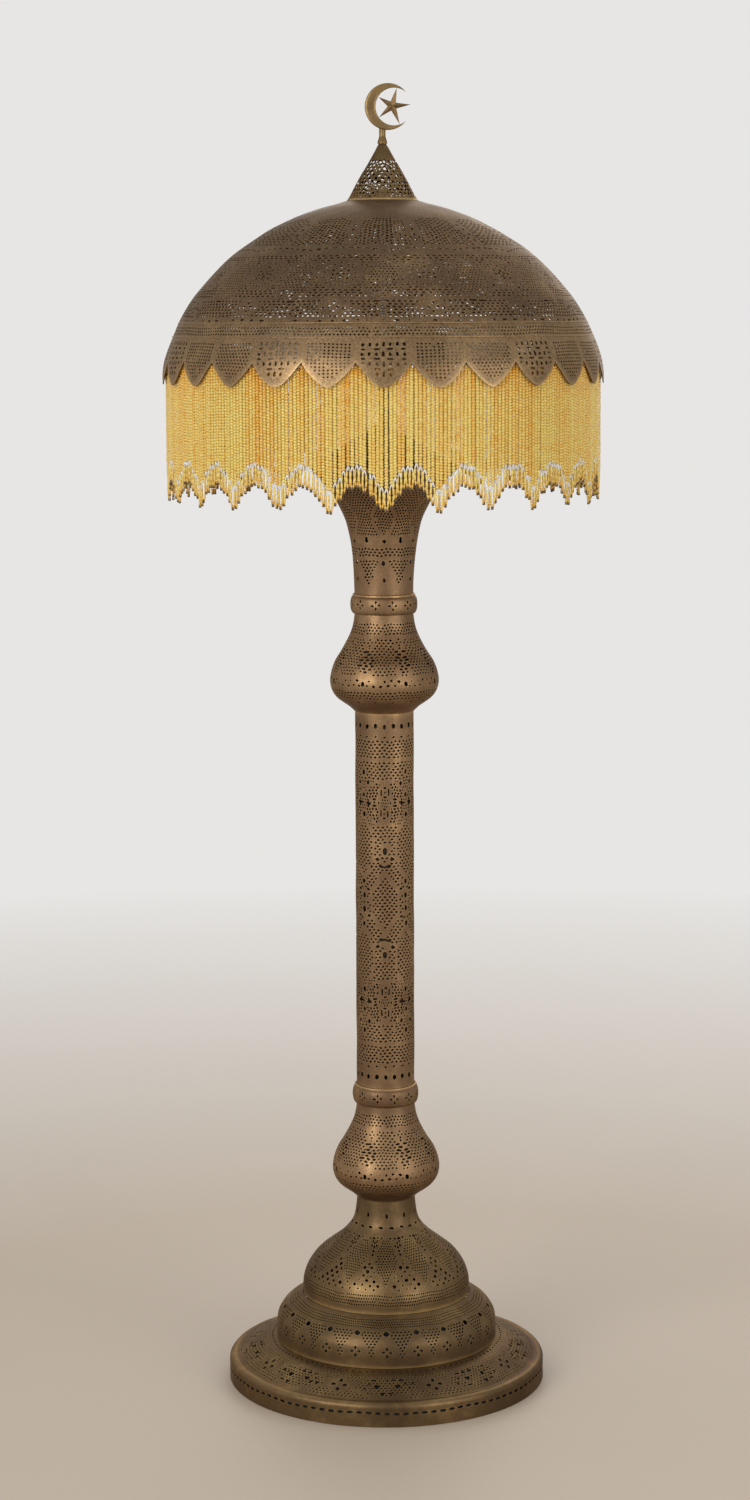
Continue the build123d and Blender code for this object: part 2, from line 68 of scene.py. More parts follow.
Point = tuple[float, float, float]

log = logging.getLogger("lantern")

MM = 0.001
FULL_TURN = 2.0 * math.pi

SPAN_SAMPLES = 25  # points on each span of a smooth outline
ARC_SAMPLES = 13  # points on each rounded corner
LEAST_FIELD = 1e-7  # a pattern's value is never nearer to zero, so that each corner has a side
CROSSING = (0.1, 0.9)  # nearest and furthest place of a cut on its grid side
EDGE_GLINT = 0.45  # least brightness of the metal along a cut
END_FADE = 6 * MM  # stretch at each end of a shell over which the unevenness fades out
HOLE_VARIETY = 0.24  # how far a lattice hole's reach varies, in grid squares
HOLES_KEPT = 0.975  # share of the lattice's holes that are cut
# Painted highlight: the metal along every cut is at least this bright, the glint of the hole rims.


# ---------------------------------------------------------------------------------------------
# Outlines
# ---------------------------------------------------------------------------------------------


@dataclass(frozen=True)
class Outline:
    """Outer face of a turned shell, sampled evenly along its length, in metres.

    Attributes:
        radius: Distance from the axis at each sample.
        height: Height above the floor at each sample.
        length: Length of the outline.
    """

    radius: Array
    height: Array
    length: float

    @staticmethod
    def sampled(points: Array, step: float = 0.4 * MM) -> "Outline":
        """Outline along a dense open path, walked in equal steps.

        Args:
            points: Rows of (radius, height) close enough to stand for the curve.
            step: Greatest distance between two samples.

        Returns:
            The outline with samples at equal distances along the path.
        """
        gaps = np.hypot(*np.diff(points, axis=0).T)
        along = np.concatenate([[0.0], np.cumsum(gaps)])
        even = np.linspace(0.0, along[-1], max(8, int(along[-1] / step)))
        radius = np.interp(even, along, points[:, 0])
        height = np.interp(even, along, points[:, 1])
        return Outline(radius, height, float(along[-1]))

    @staticmethod
    def through(stations: Sequence[tuple[float, float]]) -> "Outline":
        """Smooth curve through stations.

        A cubic in each span takes its end slopes from the stations on both sides, weighted by the
        square roots of the spans (a centripetal Catmull-Rom curve).

        Args:
            stations: Points (radius, height) in metres, from one end to the other.

        Returns:
            The outline through every station.
        """
        knots = np.array(stations, float)
        spans = np.hypot(*np.diff(knots, axis=0).T) ** 0.5
        slopes = np.diff(knots, axis=0) / spans[:, None]
        before, after = spans[:-1, None], spans[1:, None]
        inner = (slopes[:-1] * after + slopes[1:] * before) / (before + after)
        tangents = np.vstack([slopes[:1], inner, slopes[-1:]])
        share = np.linspace(0.0, 1.0, SPAN_SAMPLES)[None, :, None]
        start, end = knots[:-1, None], knots[1:, None]
        leave = tangents[:-1, None] * spans[:, None, None]
        arrive = tangents[1:, None] * spans[:, None, None]
        square, cube = share**2, share**3
        curve = (
            (2 * cube - 3 * square + 1) * start
            + (cube - 2 * square + share) * leave
            + (3 * square - 2 * cube) * end
            + (cube - square) * arrive
        )
        return Outline.sampled(curve[:, :-1].reshape(-1, 2)).closed_to(knots[-1])

    def closed_to(self, end: Array) -> "Outline":
        """The same outline, carried on to its last station."""
        points = np.vstack([np.stack([self.radius, self.height], 1), end])
        return Outline.sampled(points)

    @staticmethod
    def rounded(corners: Sequence[tuple[float, float, float]]) -> "Outline":
        """Straight runs joined by tangent arcs.

        At a corner with a rounding, the arc starts one tangent length before the corner, which is
        the rounding times the tangent of half the turn, and ends as far after it.

        Args:
            corners: Points (radius, height, rounding) in metres.

        Returns:
            The outline along the runs and arcs.
        """
        path = [np.array(corners[0][:2])]
        for back, here, ahead in zip(corners, corners[1:], corners[2:]):
            corner = np.array(here[:2])
            arriving = corner - np.array(back[:2])
            leaving = np.array(ahead[:2]) - corner
            arriving /= np.hypot(*arriving)
            leaving /= np.hypot(*leaving)
            turn = math.acos(float(np.clip(arriving @ leaving, -1.0, 1.0)))
            tangent = here[2] * math.tan(turn / 2)
            side = np.sign(arriving[0] * leaving[1] - arriving[1] * leaving[0])
            inwards = np.array([-arriving[1], arriving[0]])
            centre = corner - arriving * tangent + side * here[2] * inwards
            spoke = corner - arriving * tangent - centre
            angles = side * np.linspace(0.0, turn, ARC_SAMPLES)
            turned = np.stack(
                [
                    spoke[0] * np.cos(angles) - spoke[1] * np.sin(angles),
                    spoke[0] * np.sin(angles) + spoke[1] * np.cos(angles),
                ],
                1,
            )
            path.extend(centre + turned)
        path.append(np.array(corners[-1][:2]))
        return Outline.sampled(np.array(path))

    def at(self, along: Array) -> tuple[Array, Array]:
        """Radius and height at distances along the outline."""
        known = np.linspace(0.0, self.length, len(self.radius))
        return np.interp(along, known, self.radius), np.interp(along, known, self.height)

    def outward(self, along: Array) -> tuple[Array, Array]:
        """Unit normal as (radial, vertical) parts, pointing to the right of an upward outline."""
        known = np.linspace(0.0, self.length, len(self.radius))
        rise, run = np.gradient(self.height), np.gradient(self.radius)
        size = np.hypot(rise, run)
        return np.interp(along, known, rise / size), np.interp(along, known, -run / size)


# ---------------------------------------------------------------------------------------------
# Piercing: signed distances, negative inside a hole
# ---------------------------------------------------------------------------------------------


def scatter(first: Array, second: Array | float = 0.0) -> Array:
    """Repeatable number from 0 to 1 for each pair of whole numbers: a large sine's fraction."""
    wave = np.sin(first * 12.9898 + second * 78.233) * 43758.5453
    return wave - np.floor(wave)


def oval(x: Array, y: Array, width: Array | float, height: Array | float) -> Array:
    """Signed distance to an ellipse, from its radius in units of its half axes."""
    return (np.hypot(x / (width / 2), y / (height / 2)) - 1) * np.minimum(width, height) / 2


def slot_at(x: Array, y: Array, width: Array | float, height: float) -> Array:
    """Signed distance to an upright rectangle with its middle at the origin."""
    return np.maximum(np.abs(x) - width / 2, np.abs(y) - height / 2)


def leaf_at(x: Array, y: Array, width: float, height: float) -> Array:
    """Signed distance to an upright pointed leaf, where two equal circles overlap.

    The circles' radius is the sum of the squared half height and half width over the width, and
    their middles lie that radius less the half width to either side.
    """
    half, tall = width / 2, height / 2
    radius = (tall**2 + half**2) / width
    return np.hypot(np.abs(x) + radius - half, y) - radius


def petals(x: Array, y: Array, reach: float, long: float, wide: float) -> Array:
    """Four ovals in a cross, each with its middle at the reach."""
    return any_of(
        oval(np.abs(x) - reach, y, long, wide),
        oval(x, np.abs(y) - reach, wide, long),
    )


def within(holes: Array, region: Array) -> Array:
    """Holes kept whole where the region's distance is negative, and left out elsewhere."""
    return np.where(region < 0, holes, np.abs(holes))


def without(holes: Array, region: Array) -> Array:
    """Holes kept whole where the region's distance is positive, and left out elsewhere."""
    return within(holes, -region)


def any_of(*holes: Array) -> Array:
    """All the holes of several fields together."""
    return np.minimum.reduce(holes)


def near(distance: Array, width: float) -> Array:
    """1 at no distance, falling to 0 as a bell curve of the given width."""
    return np.exp(-((distance / width) ** 2))


@dataclass(frozen=True)
class Sheet:
    """Points of a shell's grid, on which its pattern is worked out.

    Attributes:
        turn: Angle about the axis, from the front.
        along: Distance along the outline.
        radius: Distance from the axis.
        columns: Grid columns round the shell.
        step: Distance between grid rows.
        length: Length of the whole outline.
    """

    turn: Array
    along: Array
    radius: Array
    columns: int
    step: float
    length: float

    def across(self, count: int, start: float = 0.0) -> Array:
        """Distance from the nearest of evenly spaced motifs.

        Args:
            count: Motifs round the shell.
            start: Where the first one is, as a share of a pitch past the front.

        Returns:
            Distance round the shell, negative before the motif.
        """
        pitch = FULL_TURN / count
        return ((self.turn - start * pitch + pitch / 2) % pitch - pitch / 2) * self.radius

    def on_and_off(self, count: int) -> tuple[Array, Array]:
        """Distances from the nearest motif and from the nearest middle between two motifs."""
        return self.across(count), self.across(count, 0.5)

    def number(self, count: int, start: float = 0.0) -> Array:
        """Number of the nearest of evenly spaced motifs."""
        return np.round(self.turn * count / FULL_TURN - start) % count

    def snapped(self, distance: Array, level: float) -> Array:
        """A distance along the outline, less the whole number of rows nearest to a level."""
        return distance - round(level / self.step) * self.step

    def up(self, level: float) -> Array:
        """Distance above the grid row that is nearest to a level along the outline."""
        return self.snapped(self.along, level)

    def band(self, low: float, high: float) -> Array:
        """Region between two levels along the outline, negative inside."""
        return np.maximum(low - self.along, self.along - high)

    def shots(self, count: int, pitch: float, size: float, spread: float = 0.3) -> Array:
        """Staggered rows of round holes of uneven size.

        Args:
            count: Holes in a row round the shell.
            pitch: Distance between rows.
            size: Mean width of a hole.
            spread: How far a width may lie from the mean, as a share of it.

        Returns:
            Signed distance to the nearest hole.
        """
        row = np.round(self.along / pitch)
        half = row % 2 / 2
        chance = scatter(self.number(count, half), row)
        width = (1 + spread * (2 * chance - 1)) * size
        return np.hypot(self.across(count, half), self.along - row * pitch) - width / 2

    def net(self, opening: float, wide: int = 1, tall: int = 1, stagger: bool = True) -> Array:
        """Holes that lie on the grid's corners.

        They lie on every other line of corners, in runs with one corner left between them, and each
        line of them is shifted by half a run against the last. A hole reaches a share of a grid
        square past its corners, which changes a little from hole to hole as in hand-cut work, and
        now and then a hole is missing.

        Args:
            opening: Share of a square that a hole reaches past its corners.
            wide: Corners in a hole's length round the shell.
            tall: Corners in a hole's length along the outline.
            stagger: Whether the lines are shifted.

        Returns:
            Signed distance to the nearest hole, negative inside it.
        """
        column = np.round(self.turn * self.columns / FULL_TURN).astype(int)
        row = np.round(self.along / self.step).astype(int)
        line, place, run = (column, row, tall) if tall > 1 else (row, column, wide)
        shifted = place + stagger * (line // 2 % 2) * ((run + 1) // 2)
        number, left = np.divmod(shifted, run + 1)
        chance = scatter(number, line)
        reach = opening + HOLE_VARIETY * (chance - 0.5)
        hole = (line % 2 == 0) & (left < run) & (chance < HOLES_KEPT)
        return np.where(hole, -reach, 1 - opening) * self.step


# ---------------------------------------------------------------------------------------------
# Meshes
# ---------------------------------------------------------------------------------------------


class Cut:
    """Corner and crossing order of the metal in one grid square, for each set of metal corners.

    The square's corners are a, b, c, d anticlockwise from its lower left, and e, f, g, h are the
    crossings on its lower, right, upper and left sides. Two metal corners that face each other
    across the square stay joined.
    """

    ORDER = "abcdefgh"
    FACES = {
        1: "aeh",
        2: "bfe",
        3: "abfh",
        4: "cgf",
        5: "aefcgh",
        6: "bcge",
        7: "abcgh",
        8: "dhg",
        9: "aegd",
        10: "bfgdhe",
        11: "abfgd",
        12: "cdhf",
        13: "aefcd",
        14: "bcdhe",
        15: "abcd",
    }


def mesh_object(
    name: str, points: Array, loops: Array, sizes: Array, smooth: bool = True
) -> bpy.types.Object:
    """A mesh object at the origin from flat arrays.

    Args:
        name: Piece name.
        points: Vertices, one row each, in metres.
        loops: Vertex numbers of every face, one after the other.
        sizes: Number of corners of each face.
        smooth: Whether faces are shaded smoothly.

    Returns:
        The object, linked to the scene.
    """
    mesh = bpy.data.meshes.new(name)
    mesh.vertices.add(len(points))
    mesh.vertices.foreach_set("co", np.ascontiguousarray(points, np.float32).ravel())
    mesh.loops.add(len(loops))
    mesh.loops.foreach_set("vertex_index", np.ascontiguousarray(loops, np.int32))
    starts = np.concatenate([[0], np.cumsum(sizes)[:-1]]).astype(np.int32)
    mesh.polygons.add(len(sizes))
    mesh.polygons.foreach_set("loop_start", starts)
    mesh.polygons.foreach_set("use_smooth", np.full(len(sizes), smooth))
    mesh.update(calc_edges=True)
    made = bpy.data.objects.new(name, mesh)
    bpy.context.scene.collection.objects.link(made)
    return made


def vertex_values(made: bpy.types.Object, name: str, values: Array) -> None:
    """Stores one number for each vertex as an attribute that a finish can read."""
    layer = made.data.attributes.new(name, "FLOAT", "POINT")
    layer.data.foreach_set("value", np.ascontiguousarray(values, np.float32))


def sharpen(made: bpy.types.Object, pairs: Array) -> None:
    """Marks the edges between the given pairs of vertices as sharp."""
    mesh = made.data
    ends = np.zeros(2 * len(mesh.edges), np.int64)
    mesh.edges.foreach_get("vertices", ends)
    ends = np.sort(ends.reshape(-1, 2), 1)
    wanted = np.sort(pairs, 1)
    count = len(mesh.vertices)
    found = np.isin(ends[:, 0] * count + ends[:, 1], wanted[:, 0] * count + wanted[:, 1])
    layer = mesh.attributes.new("sharp_edge", "BOOLEAN", "EDGE")
    layer.data.foreach_set("value", found)


def triangles(made: bpy.types.Object) -> int:
    """Number of triangles that the piece's faces make."""
    sizes = np.zeros(len(made.data.polygons), np.int32)
    made.data.polygons.foreach_get("loop_total", sizes)
    return int((sizes - 2).sum())


@dataclass(frozen=True)
class Band:
    """A stretch of a shell that is made as one piece.

    Attributes:
        name: Piece name.
        columns: Grid columns round the shell.
        low: Where it starts, as a distance along the outline.
        high: Where it ends.
    """

    name: str
    columns: int
    low: float
    high: float


def stacked(base: str, rings: Sequence[tuple[str, int]], *joins: float) -> list[Band]:
    """Bands that follow each other along an outline.

    Args:
        base: What the names of the pieces start with.
        rings: Name and grid columns of each band.
        *joins: Distances along the outline at which one band ends and the next starts.

    Returns:
        The bands, the last of them to the outline's end.
    """
    edges = (0.0, *joins, math.inf)
    return [
        Band(f"{base}_{name}", columns, low, high)
        for (name, columns), low, high in zip(rings, edges, edges[1:])
    ]


def uneven(turn: Array, along: Array) -> Array:
    """Unevenness of hand-raised metal, of a third of a millimetre.

    It is four waves, each with its number round the shell and its length along it in metres.
    """
    return (
        0.13 * np.sin(3 * turn + along / 0.019 + 0.4)
        + 0.10 * np.sin(7 * turn - along / 0.011 + 1.9)
        + 0.06 * np.sin(12 * turn + along / 0.008 + 4.0)
        + 0.04 * np.sin(23 * turn - along / 0.0047 + 2.2)
    ) * MM


def strayed(turn: Array, along: Array) -> tuple[Array, Array]:
    """How far hand-cut work strays from its ruled lines: two waves each way.

    Args:
        turn: Angle from the front.
        along: Distance along the outline.

    Returns:
        Distances round the shell and along it.
    """
    aside = 0.45 * np.sin(5 * turn + along / 0.0093 + 0.7)
    aside = aside + 0.30 * np.sin(11 * turn - along / 0.0051)
    ahead = 0.50 * np.sin(9 * turn + along / 0.0127 + 2.1)
    ahead = ahead + 0.35 * np.sin(19 * turn - along / 0.0083)
    return aside * MM, ahead * MM


@dataclass
class PiercedShell:
    """A pierced sheet turned about the lamp's axis. Each shell of the lamp is one of these.

    Attributes:
        node: The CAD node that it stands for.
        tone: Its finish.
        thickness: Thickness of the sheet.
        step: Aimed distance between grid rows.
        painted_shade: How dark the inner face is painted, as shade inside the shell, from 0 to 1.
    """

    node: str
    tone: "Tone"
    thickness: float = 1.3 * MM
    step: float = 1.8 * MM
    painted_shade: float = 1.0

    def outline(self) -> Outline:
        """The outer face."""
        raise NotImplementedError

    def bands(self, outline: Outline) -> list[Band]:
        """The pieces that the shell is made as."""
        raise NotImplementedError

    def pattern(self, sheet: Sheet) -> Array:
        """Signed distance to the nearest hole."""
        raise NotImplementedError

    def rubbed(self, sheet: Sheet) -> Array:
        """How bright the surface is from rubbing and painted highlight, from 0 to 1; below 0 it
        takes painted shade.
        """
        return np.zeros_like(sheet.along)

    def build(self, shop: "Workshop") -> None:
        """Makes and dresses every piece of the shell."""
        outline = self.outline()
        rows = round(outline.length / self.step)
        step = outline.length / rows
        for band in self.bands(outline):
            first = round(band.low / step)
            last = rows if band.high == math.inf else round(band.high / step)
            piece = self._cut(band, outline, first, last, step)
            shop.mount(piece, self.tone, self.node)

    def _cut(
        self, band: Band, outline: Outline, first: int, last: int, step: float
    ) -> bpy.types.Object:
        """Cuts the sheet along the zero line of its pattern.

        The pattern is worked out at the grid's corners. On a grid side whose ends differ in sign,
        the crossing is where the pattern is zero if it runs straight between them. The metal in
        each square is one face, looked up by which corners are metal.

        Args:
            band: The piece to make.
            outline: The shell's outer face.
            first: First grid row.
            last: Last grid row.
            step: Distance between grid rows.

        Returns:
            The closed, pierced sheet.
        """
        columns, rows = band.columns, last - first
        turn = np.arange(columns) * FULL_TURN / columns
        grid_turn, grid_along = np.meshgrid(turn, np.arange(first, last + 1) * step)
        radius, _ = outline.at(grid_along)
        points = Sheet(grid_turn, grid_along, radius, columns, step, outline.length)
        value = self.pattern(points)
        value = np.where(np.abs(value) < LEAST_FIELD, LEAST_FIELD, value)

        index = np.arange((rows + 1) * columns).reshape(rows + 1, columns)
        right = np.roll(index, -1, axis=1)
        beside = np.roll(value, -1, axis=1)
        sideways = np.clip(value / np.where(value == beside, 1, value - beside), *CROSSING)
        below, above = value[:-1], value[1:]
        upwards = np.clip(below / np.where(below == above, 1, below - above), *CROSSING)
        all_turn = np.concatenate(
            [
                grid_turn.ravel(),
                (grid_turn + sideways * FULL_TURN / columns).ravel(),
                grid_turn[:-1].ravel(),
            ]
        )
        all_along = np.concatenate(
            [grid_along.ravel(), grid_along.ravel(), (grid_along[:-1] + upwards * step).ravel()]
        )
        side = np.arange(rows * columns).reshape(rows, columns) + 2 * index.size
        square = {
            "a": index[:-1],
            "b": right[:-1],
            "c": right[1:],
            "d": index[1:],
            "e": index[:-1] + index.size,
            "f": np.roll(side, -1, axis=1),
            "g": index[1:] + index.size,
            "h": side,
        }
        metal = value > 0
        beyond = np.roll(metal, -1, axis=1)
        case = metal[:-1] + 2 * beyond[:-1] + 4 * beyond[1:] + 8 * metal[1:]
        faces = [
            np.stack([square[letter][case == key] for letter in letters], 1)
            for key, letters in Cut.FACES.items()
        ]
        used = np.unique(np.concatenate([group.ravel() for group in faces]))
        faces = [np.searchsorted(used, group) for group in faces if len(group)]
        edge = used >= index.size
        turn, along = all_turn[used], all_along[used]
        radius, _ = outline.at(along)
        bright = self.rubbed(Sheet(turn, along, radius, columns, step, outline.length))
        # Painted highlight along every cut: the glint of the hole rims.
        bright = np.where(edge, np.maximum(bright, EDGE_GLINT), bright)
        return self._thicken(band.name, outline, turn, along, faces, bright)

    def _thicken(
        self,
        name: str,
        outline: Outline,
        turn: Array,
        along: Array,
        faces: list[Array],
        bright: Array,
    ) -> bpy.types.Object:
        """Gives the cut sheet its thickness.

        The inner face is the same face, turned round, one thickness along the normal, and each open
        edge gets a wall between both.

        Args:
            name: Piece name.
            outline: The shell's outer face.
            turn: Angle of each vertex from the front.
            along: Distance of each vertex along the outline.
            faces: Faces of the outer side, grouped by their number of corners.
            bright: How bright each vertex is from rubbing and painted highlight; below 0 it takes
                painted shade.

        Returns:
            The closed sheet.
        """
        ends = np.clip(np.minimum(along, outline.length - along) / END_FADE, 0, 1)
        raised = uneven(turn, along) * ends
        aside, ahead = strayed(turn, along)
        along = along + ahead * ends
        radius, height = outline.at(along)
        turn = turn + aside * ends / radius
        radial, vertical = outline.outward(along)
        sides = []
        for depth in (0.0, self.thickness):
            out = radius + radial * (raised - depth)
            rise = height + vertical * (raised - depth)
            sides.append(np.stack([out * np.sin(turn), -out * np.cos(turn), rise], 1))
        count = len(turn)
        start = np.concatenate([group.ravel() for group in faces])
        end = np.concatenate([np.roll(group, -1, axis=1).ravel() for group in faces])
        open_edge = ~np.isin(start * count + end, end * count + start)
        a, b = start[open_edge], end[open_edge]
        walls = np.stack([b, a, a + count, b + count], 1)
        groups = [*faces, *[group[:, ::-1] + count for group in faces], walls]
        loops = np.concatenate([group.ravel() for group in groups])
        sizes = np.concatenate([np.full(len(group), group.shape[1]) for group in groups])
        made = mesh_object(name, np.vstack(sides), loops, sizes)
        sharpen(made, np.vstack([np.stack([a, b], 1), np.stack([a, b], 1) + count]))
        # The inner face is painted dark, as shade inside the shell.
        vertex_values(made, "wear_and_painted_light", np.concatenate([bright, np.full(len(bright), -self.painted_shade)]))
        return made


def turned_ring(name: str, section: Array, columns: int, wear_and_painted_light: float = 0.8) -> bpy.types.Object:
    """A closed section carried once round the axis.

    The point of the section at (radius, height) goes to radius times the cosine and the sine of
    each column's turn.

    Args:
        name: Piece name.
        section: Rows of (radius, height), anticlockwise as seen with the axis on the left.
        columns: Columns round the ring.
        wear_and_painted_light: How bright it is rubbed; below 0 it takes painted shade.

    Returns:
        The closed ring.
    """
    turn = np.arange(columns)[:, None] * FULL_TURN / columns
    radius, height = section[None, :, 0], section[None, :, 1]
    points = np.stack([radius * np.cos(turn), radius * np.sin(turn), height + 0 * turn], 2)
    count = section.shape[0]
    index = np.arange(columns * count).reshape(columns, count)
    right, up = np.roll(index, -1, axis=0), np.roll(index, -1, axis=1)
    corner = np.roll(right, -1, axis=1)
    faces = np.stack([index, right, corner, up], 2).reshape(-1, 4)
    made = mesh_object(name, points.reshape(-1, 3), faces.ravel(), np.full(len(faces), 4))
    vertex_values(made, "wear_and_painted_light", np.full(len(made.data.vertices), wear_and_painted_light))
    return made


def wire_section(radius: float, height: float, thick: float, sides: int = 8) -> Array:
    """Round section of a wire that lies at a radius and height."""
    angle = -np.arange(sides) * FULL_TURN / sides
    return np.stack([radius + thick * np.cos(angle) / 2, height - thick * np.sin(angle) / 2], 1)


@dataclass(frozen=True)
class Bead:
    """A small turned bead: poles above and below and rings of equal sides between.

    Attributes:
        rings: Rows of (share of the radius, height from -1 to 1).
        sides: Sides of each ring.
    """

    rings: tuple[tuple[float, float], ...]
    sides: int = 6

    def mesh(self) -> tuple[Array, Array]:
        """Vertices of the unit bead and its triangles, poles first and last.

        Returns:
            Vertices, and faces as rows of three numbers.
        """
        angle = np.arange(self.sides) * FULL_TURN / self.sides
        levels = [
            np.stack([share * np.cos(angle), share * np.sin(angle), np.full(self.sides, up)], 1)
            for share, up in self.rings
        ]
        points = np.vstack([[[0, 0, -1]], *levels, [[0, 0, 1]]])
        ring = np.arange(self.sides)
        after = np.roll(ring, -1)
        first, last, top = 1, 1 + self.sides * (len(self.rings) - 1), len(points) - 1
        faces = [np.stack([np.zeros_like(ring), first + after, first + ring], 1)]
        for level in range(len(self.rings) - 1):
            low = 1 + level * self.sides
            high = low + self.sides
            faces.append(np.stack([low + ring, low + after, high + after], 1))
            faces.append(np.stack([low + ring, high + after, high + ring], 1))
        faces.append(np.stack([last + ring, last + after, np.full_like(ring, top)], 1))
        return points, np.vstack(faces)

    def strung(
        self, name: str, centres: Array, axes: Array, widths: Array, tints: Array
    ) -> bpy.types.Object:
        """Many beads as one mesh.

        Each bead's height axis is laid along its own axis vector, which also sets its half height,
        and its two other axes are square to it.

        Args:
            name: Piece name.
            centres: Middle of each bead.
            axes: Half-height vector of each bead.
            widths: Width of each bead.
            tints: Attribute value of each bead.

        Returns:
            The beads, linked to the scene.
        """
        points, faces = self.mesh()
        along = axes / np.linalg.norm(axes, axis=1, keepdims=True)
        first = np.cross(along, np.array([0.0, 0.0, 1.0]) + 0.01 * np.array([1.0, 0.3, 0.0]))
        first /= np.linalg.norm(first, axis=1, keepdims=True)
        second = np.cross(along, first)
        half = widths[:, None, None] / 2
        placed = (
            centres[:, None]
            + half * points[None, :, 0:1] * first[:, None]
            + half * points[None, :, 1:2] * second[:, None]
            + points[None, :, 2:3] * axes[:, None]
        )
        offset = np.arange(len(centres))[:, None, None] * len(points)
        joined = (faces[None] + offset).reshape(-1, 3)
        made = mesh_object(name, placed.reshape(-1, 3), joined.ravel(), np.full(len(joined), 3))
        vertex_values(made, "tint", np.repeat(tints, len(points)))
        return made


# ---------------------------------------------------------------------------------------------
# Shader maths
# ---------------------------------------------------------------------------------------------


class Socket:
    """An output of a material's node, with arithmetic that adds Math nodes."""

    def __init__(self, graph: "Graph", link: bpy.types.NodeSocket) -> None:
        """Wraps one output of a node in a graph."""
        self.graph = graph
        self.link = link

    def _maths(self, operation: str, *values: "Socket | float") -> "Socket":
        """A Math node on some values."""
        return self.graph.node("ShaderNodeMath", {"operation": operation}, *values)

    def __add__(self, other: "Socket | float") -> "Socket":
        """Sum."""
        return self._maths("ADD", self, other)

    __radd__ = __add__

    def __sub__(self, other: "Socket | float") -> "Socket":
        """Difference."""
        return self._maths("SUBTRACT", self, other)

    def __rsub__(self, other: float) -> "Socket":
        """A number less this value."""
        return self._maths("SUBTRACT", other, self)

    def __mul__(self, other: "Socket | float") -> "Socket":
        """Product."""
        return self._maths("MULTIPLY", self, other)

    __rmul__ = __mul__

    def __truediv__(self, other: "Socket | float") -> "Socket":
        """Quotient."""
        return self._maths("DIVIDE", self, other)

    def clamped(self) -> "Socket":
        """The value held between 0 and 1."""
        return self._maths("MINIMUM", self._maths("MAXIMUM", self, 0.0), 1.0)

    def ramp(self, low: float, high: float) -> "Socket":
        """0 below the low value, 1 above the high one, and straight between."""
        return ((self - low) / (high - low)).clamped()


class Graph:
    """The node tree of one material."""

    def __init__(self, name: str) -> None:
        """Starts an empty material."""
        self.material = bpy.data.materials.new(name)
        self.material.use_nodes = True
        self.tree = self.material.node_tree
        self.tree.nodes.clear()

    def node(
        self,
        kind: str,
        settings: dict[str, object] | None = None,
        *values: object,
        out: str | int = 0,
        **named: object,
    ) -> Socket:
        """Adds one node.

        Args:
            kind: Blender's name of the node type.
            settings: Properties that are set before the sockets.
            *values: Values or links of the first sockets, in order; None leaves one as it is.
            out: Name or number of the output to return.
            **named: Values or links by socket name, with spaces as underscores.

        Returns:
            The chosen output.
        """
        made = self.tree.nodes.new(kind)
        for key, value in (settings or {}).items():
            setattr(made, key, value)
        for key, value in [*enumerate(values), *named.items()]:
            socket = made.inputs[key if isinstance(key, int) else key.replace("_", " ")]
            if isinstance(value, Socket):
                self.tree.links.new(value.link, socket)
            elif value is not None:
                socket.default_value = value
        return Socket(self, made.outputs[out]) if made.outputs else Socket(self, None)

    def place(self) -> Socket:
        """Object coordinates."""
        return self.node("ShaderNodeTexCoord", out="Object")

    def noise(self, scale: float, detail: float = 2.0, rough: float = 0.5) -> Socket:
        """Cloudy noise in the object's own space, from 0 to 1."""
        sockets = {"Vector": self.place(), "Scale": scale, "Detail": detail, "Roughness": rough}
        return self.node("ShaderNodeTexNoise", **sockets)

    def attribute(self, name: str) -> Socket:
        """A number stored with the mesh."""
        return self.node("ShaderNodeAttribute", {"attribute_name": name}, out="Fac")

    def mix(self, share: Socket | float, low: "Socket | Colour", high: "Socket | Colour") -> Socket:
        """One colour turned into another by a share."""
        colours = [end if isinstance(end, Socket) else (*end, 1.0) for end in (low, high)]
        skipped = [None] * 5  # the sockets that mix numbers and vectors
        settings = {"data_type": "RGBA"}
        return self.node("ShaderNodeMix", settings, share, *skipped, *colours, out=2)

    def bump(self, height: Socket, strength: float, depth: float) -> Socket:
        """Normal bent by a height."""
        sockets = {"Height": height, "Strength": strength, "Distance": depth}
        return self.node("ShaderNodeBump", out="Normal", **sockets)

    def blend(self, share: Socket | float, first: Socket, second: Socket) -> Socket:
        """One surface turned into another by a share."""
        return self.node("ShaderNodeMixShader", None, share, first, second)

    def finish(self, surface: Socket) -> bpy.types.Material:
        """Connects the surface to the output and returns the material."""
        self.node("ShaderNodeOutputMaterial", Surface=surface)
        return self.material

    def glass(self, body: Socket, roughness: float, coat: float = 0.0) -> bpy.types.Material:
        """Finishes the material as glass: gloss over a body that lets light through.

        Args:
            body: Colour of the glass.
            roughness: Roughness of its surface.
            coat: Weight of a clear coat.

        Returns:
            The material.
        """
        sockets = {"Base Color": body, "Roughness": roughness, "Coat Weight": coat}
        gloss = self.node("ShaderNodeBsdfPrincipled", **sockets)
        glow = self.node("ShaderNodeBsdfTranslucent", Color=body)
        return self.finish(self.blend(0.4, gloss, glow))


class Tone(Enum):
    """A brass finish and the body and material slot that it belongs to."""

    SHADE = ("shade", "shade_brass")
    COLUMN = ("stand", "column_brass")
    FOOT = ("stand", "foot_brass")
    FINIAL = ("finial", "finial_brass")
    RISER = ("stand", "riser_brass")

    @property
    def body(self) -> str:
        """The CAD body that pieces of this tone ride on."""
        return self.value[0]

    @property
    def slot(self) -> str:
        """The record's material slot."""
        return self.value[1]


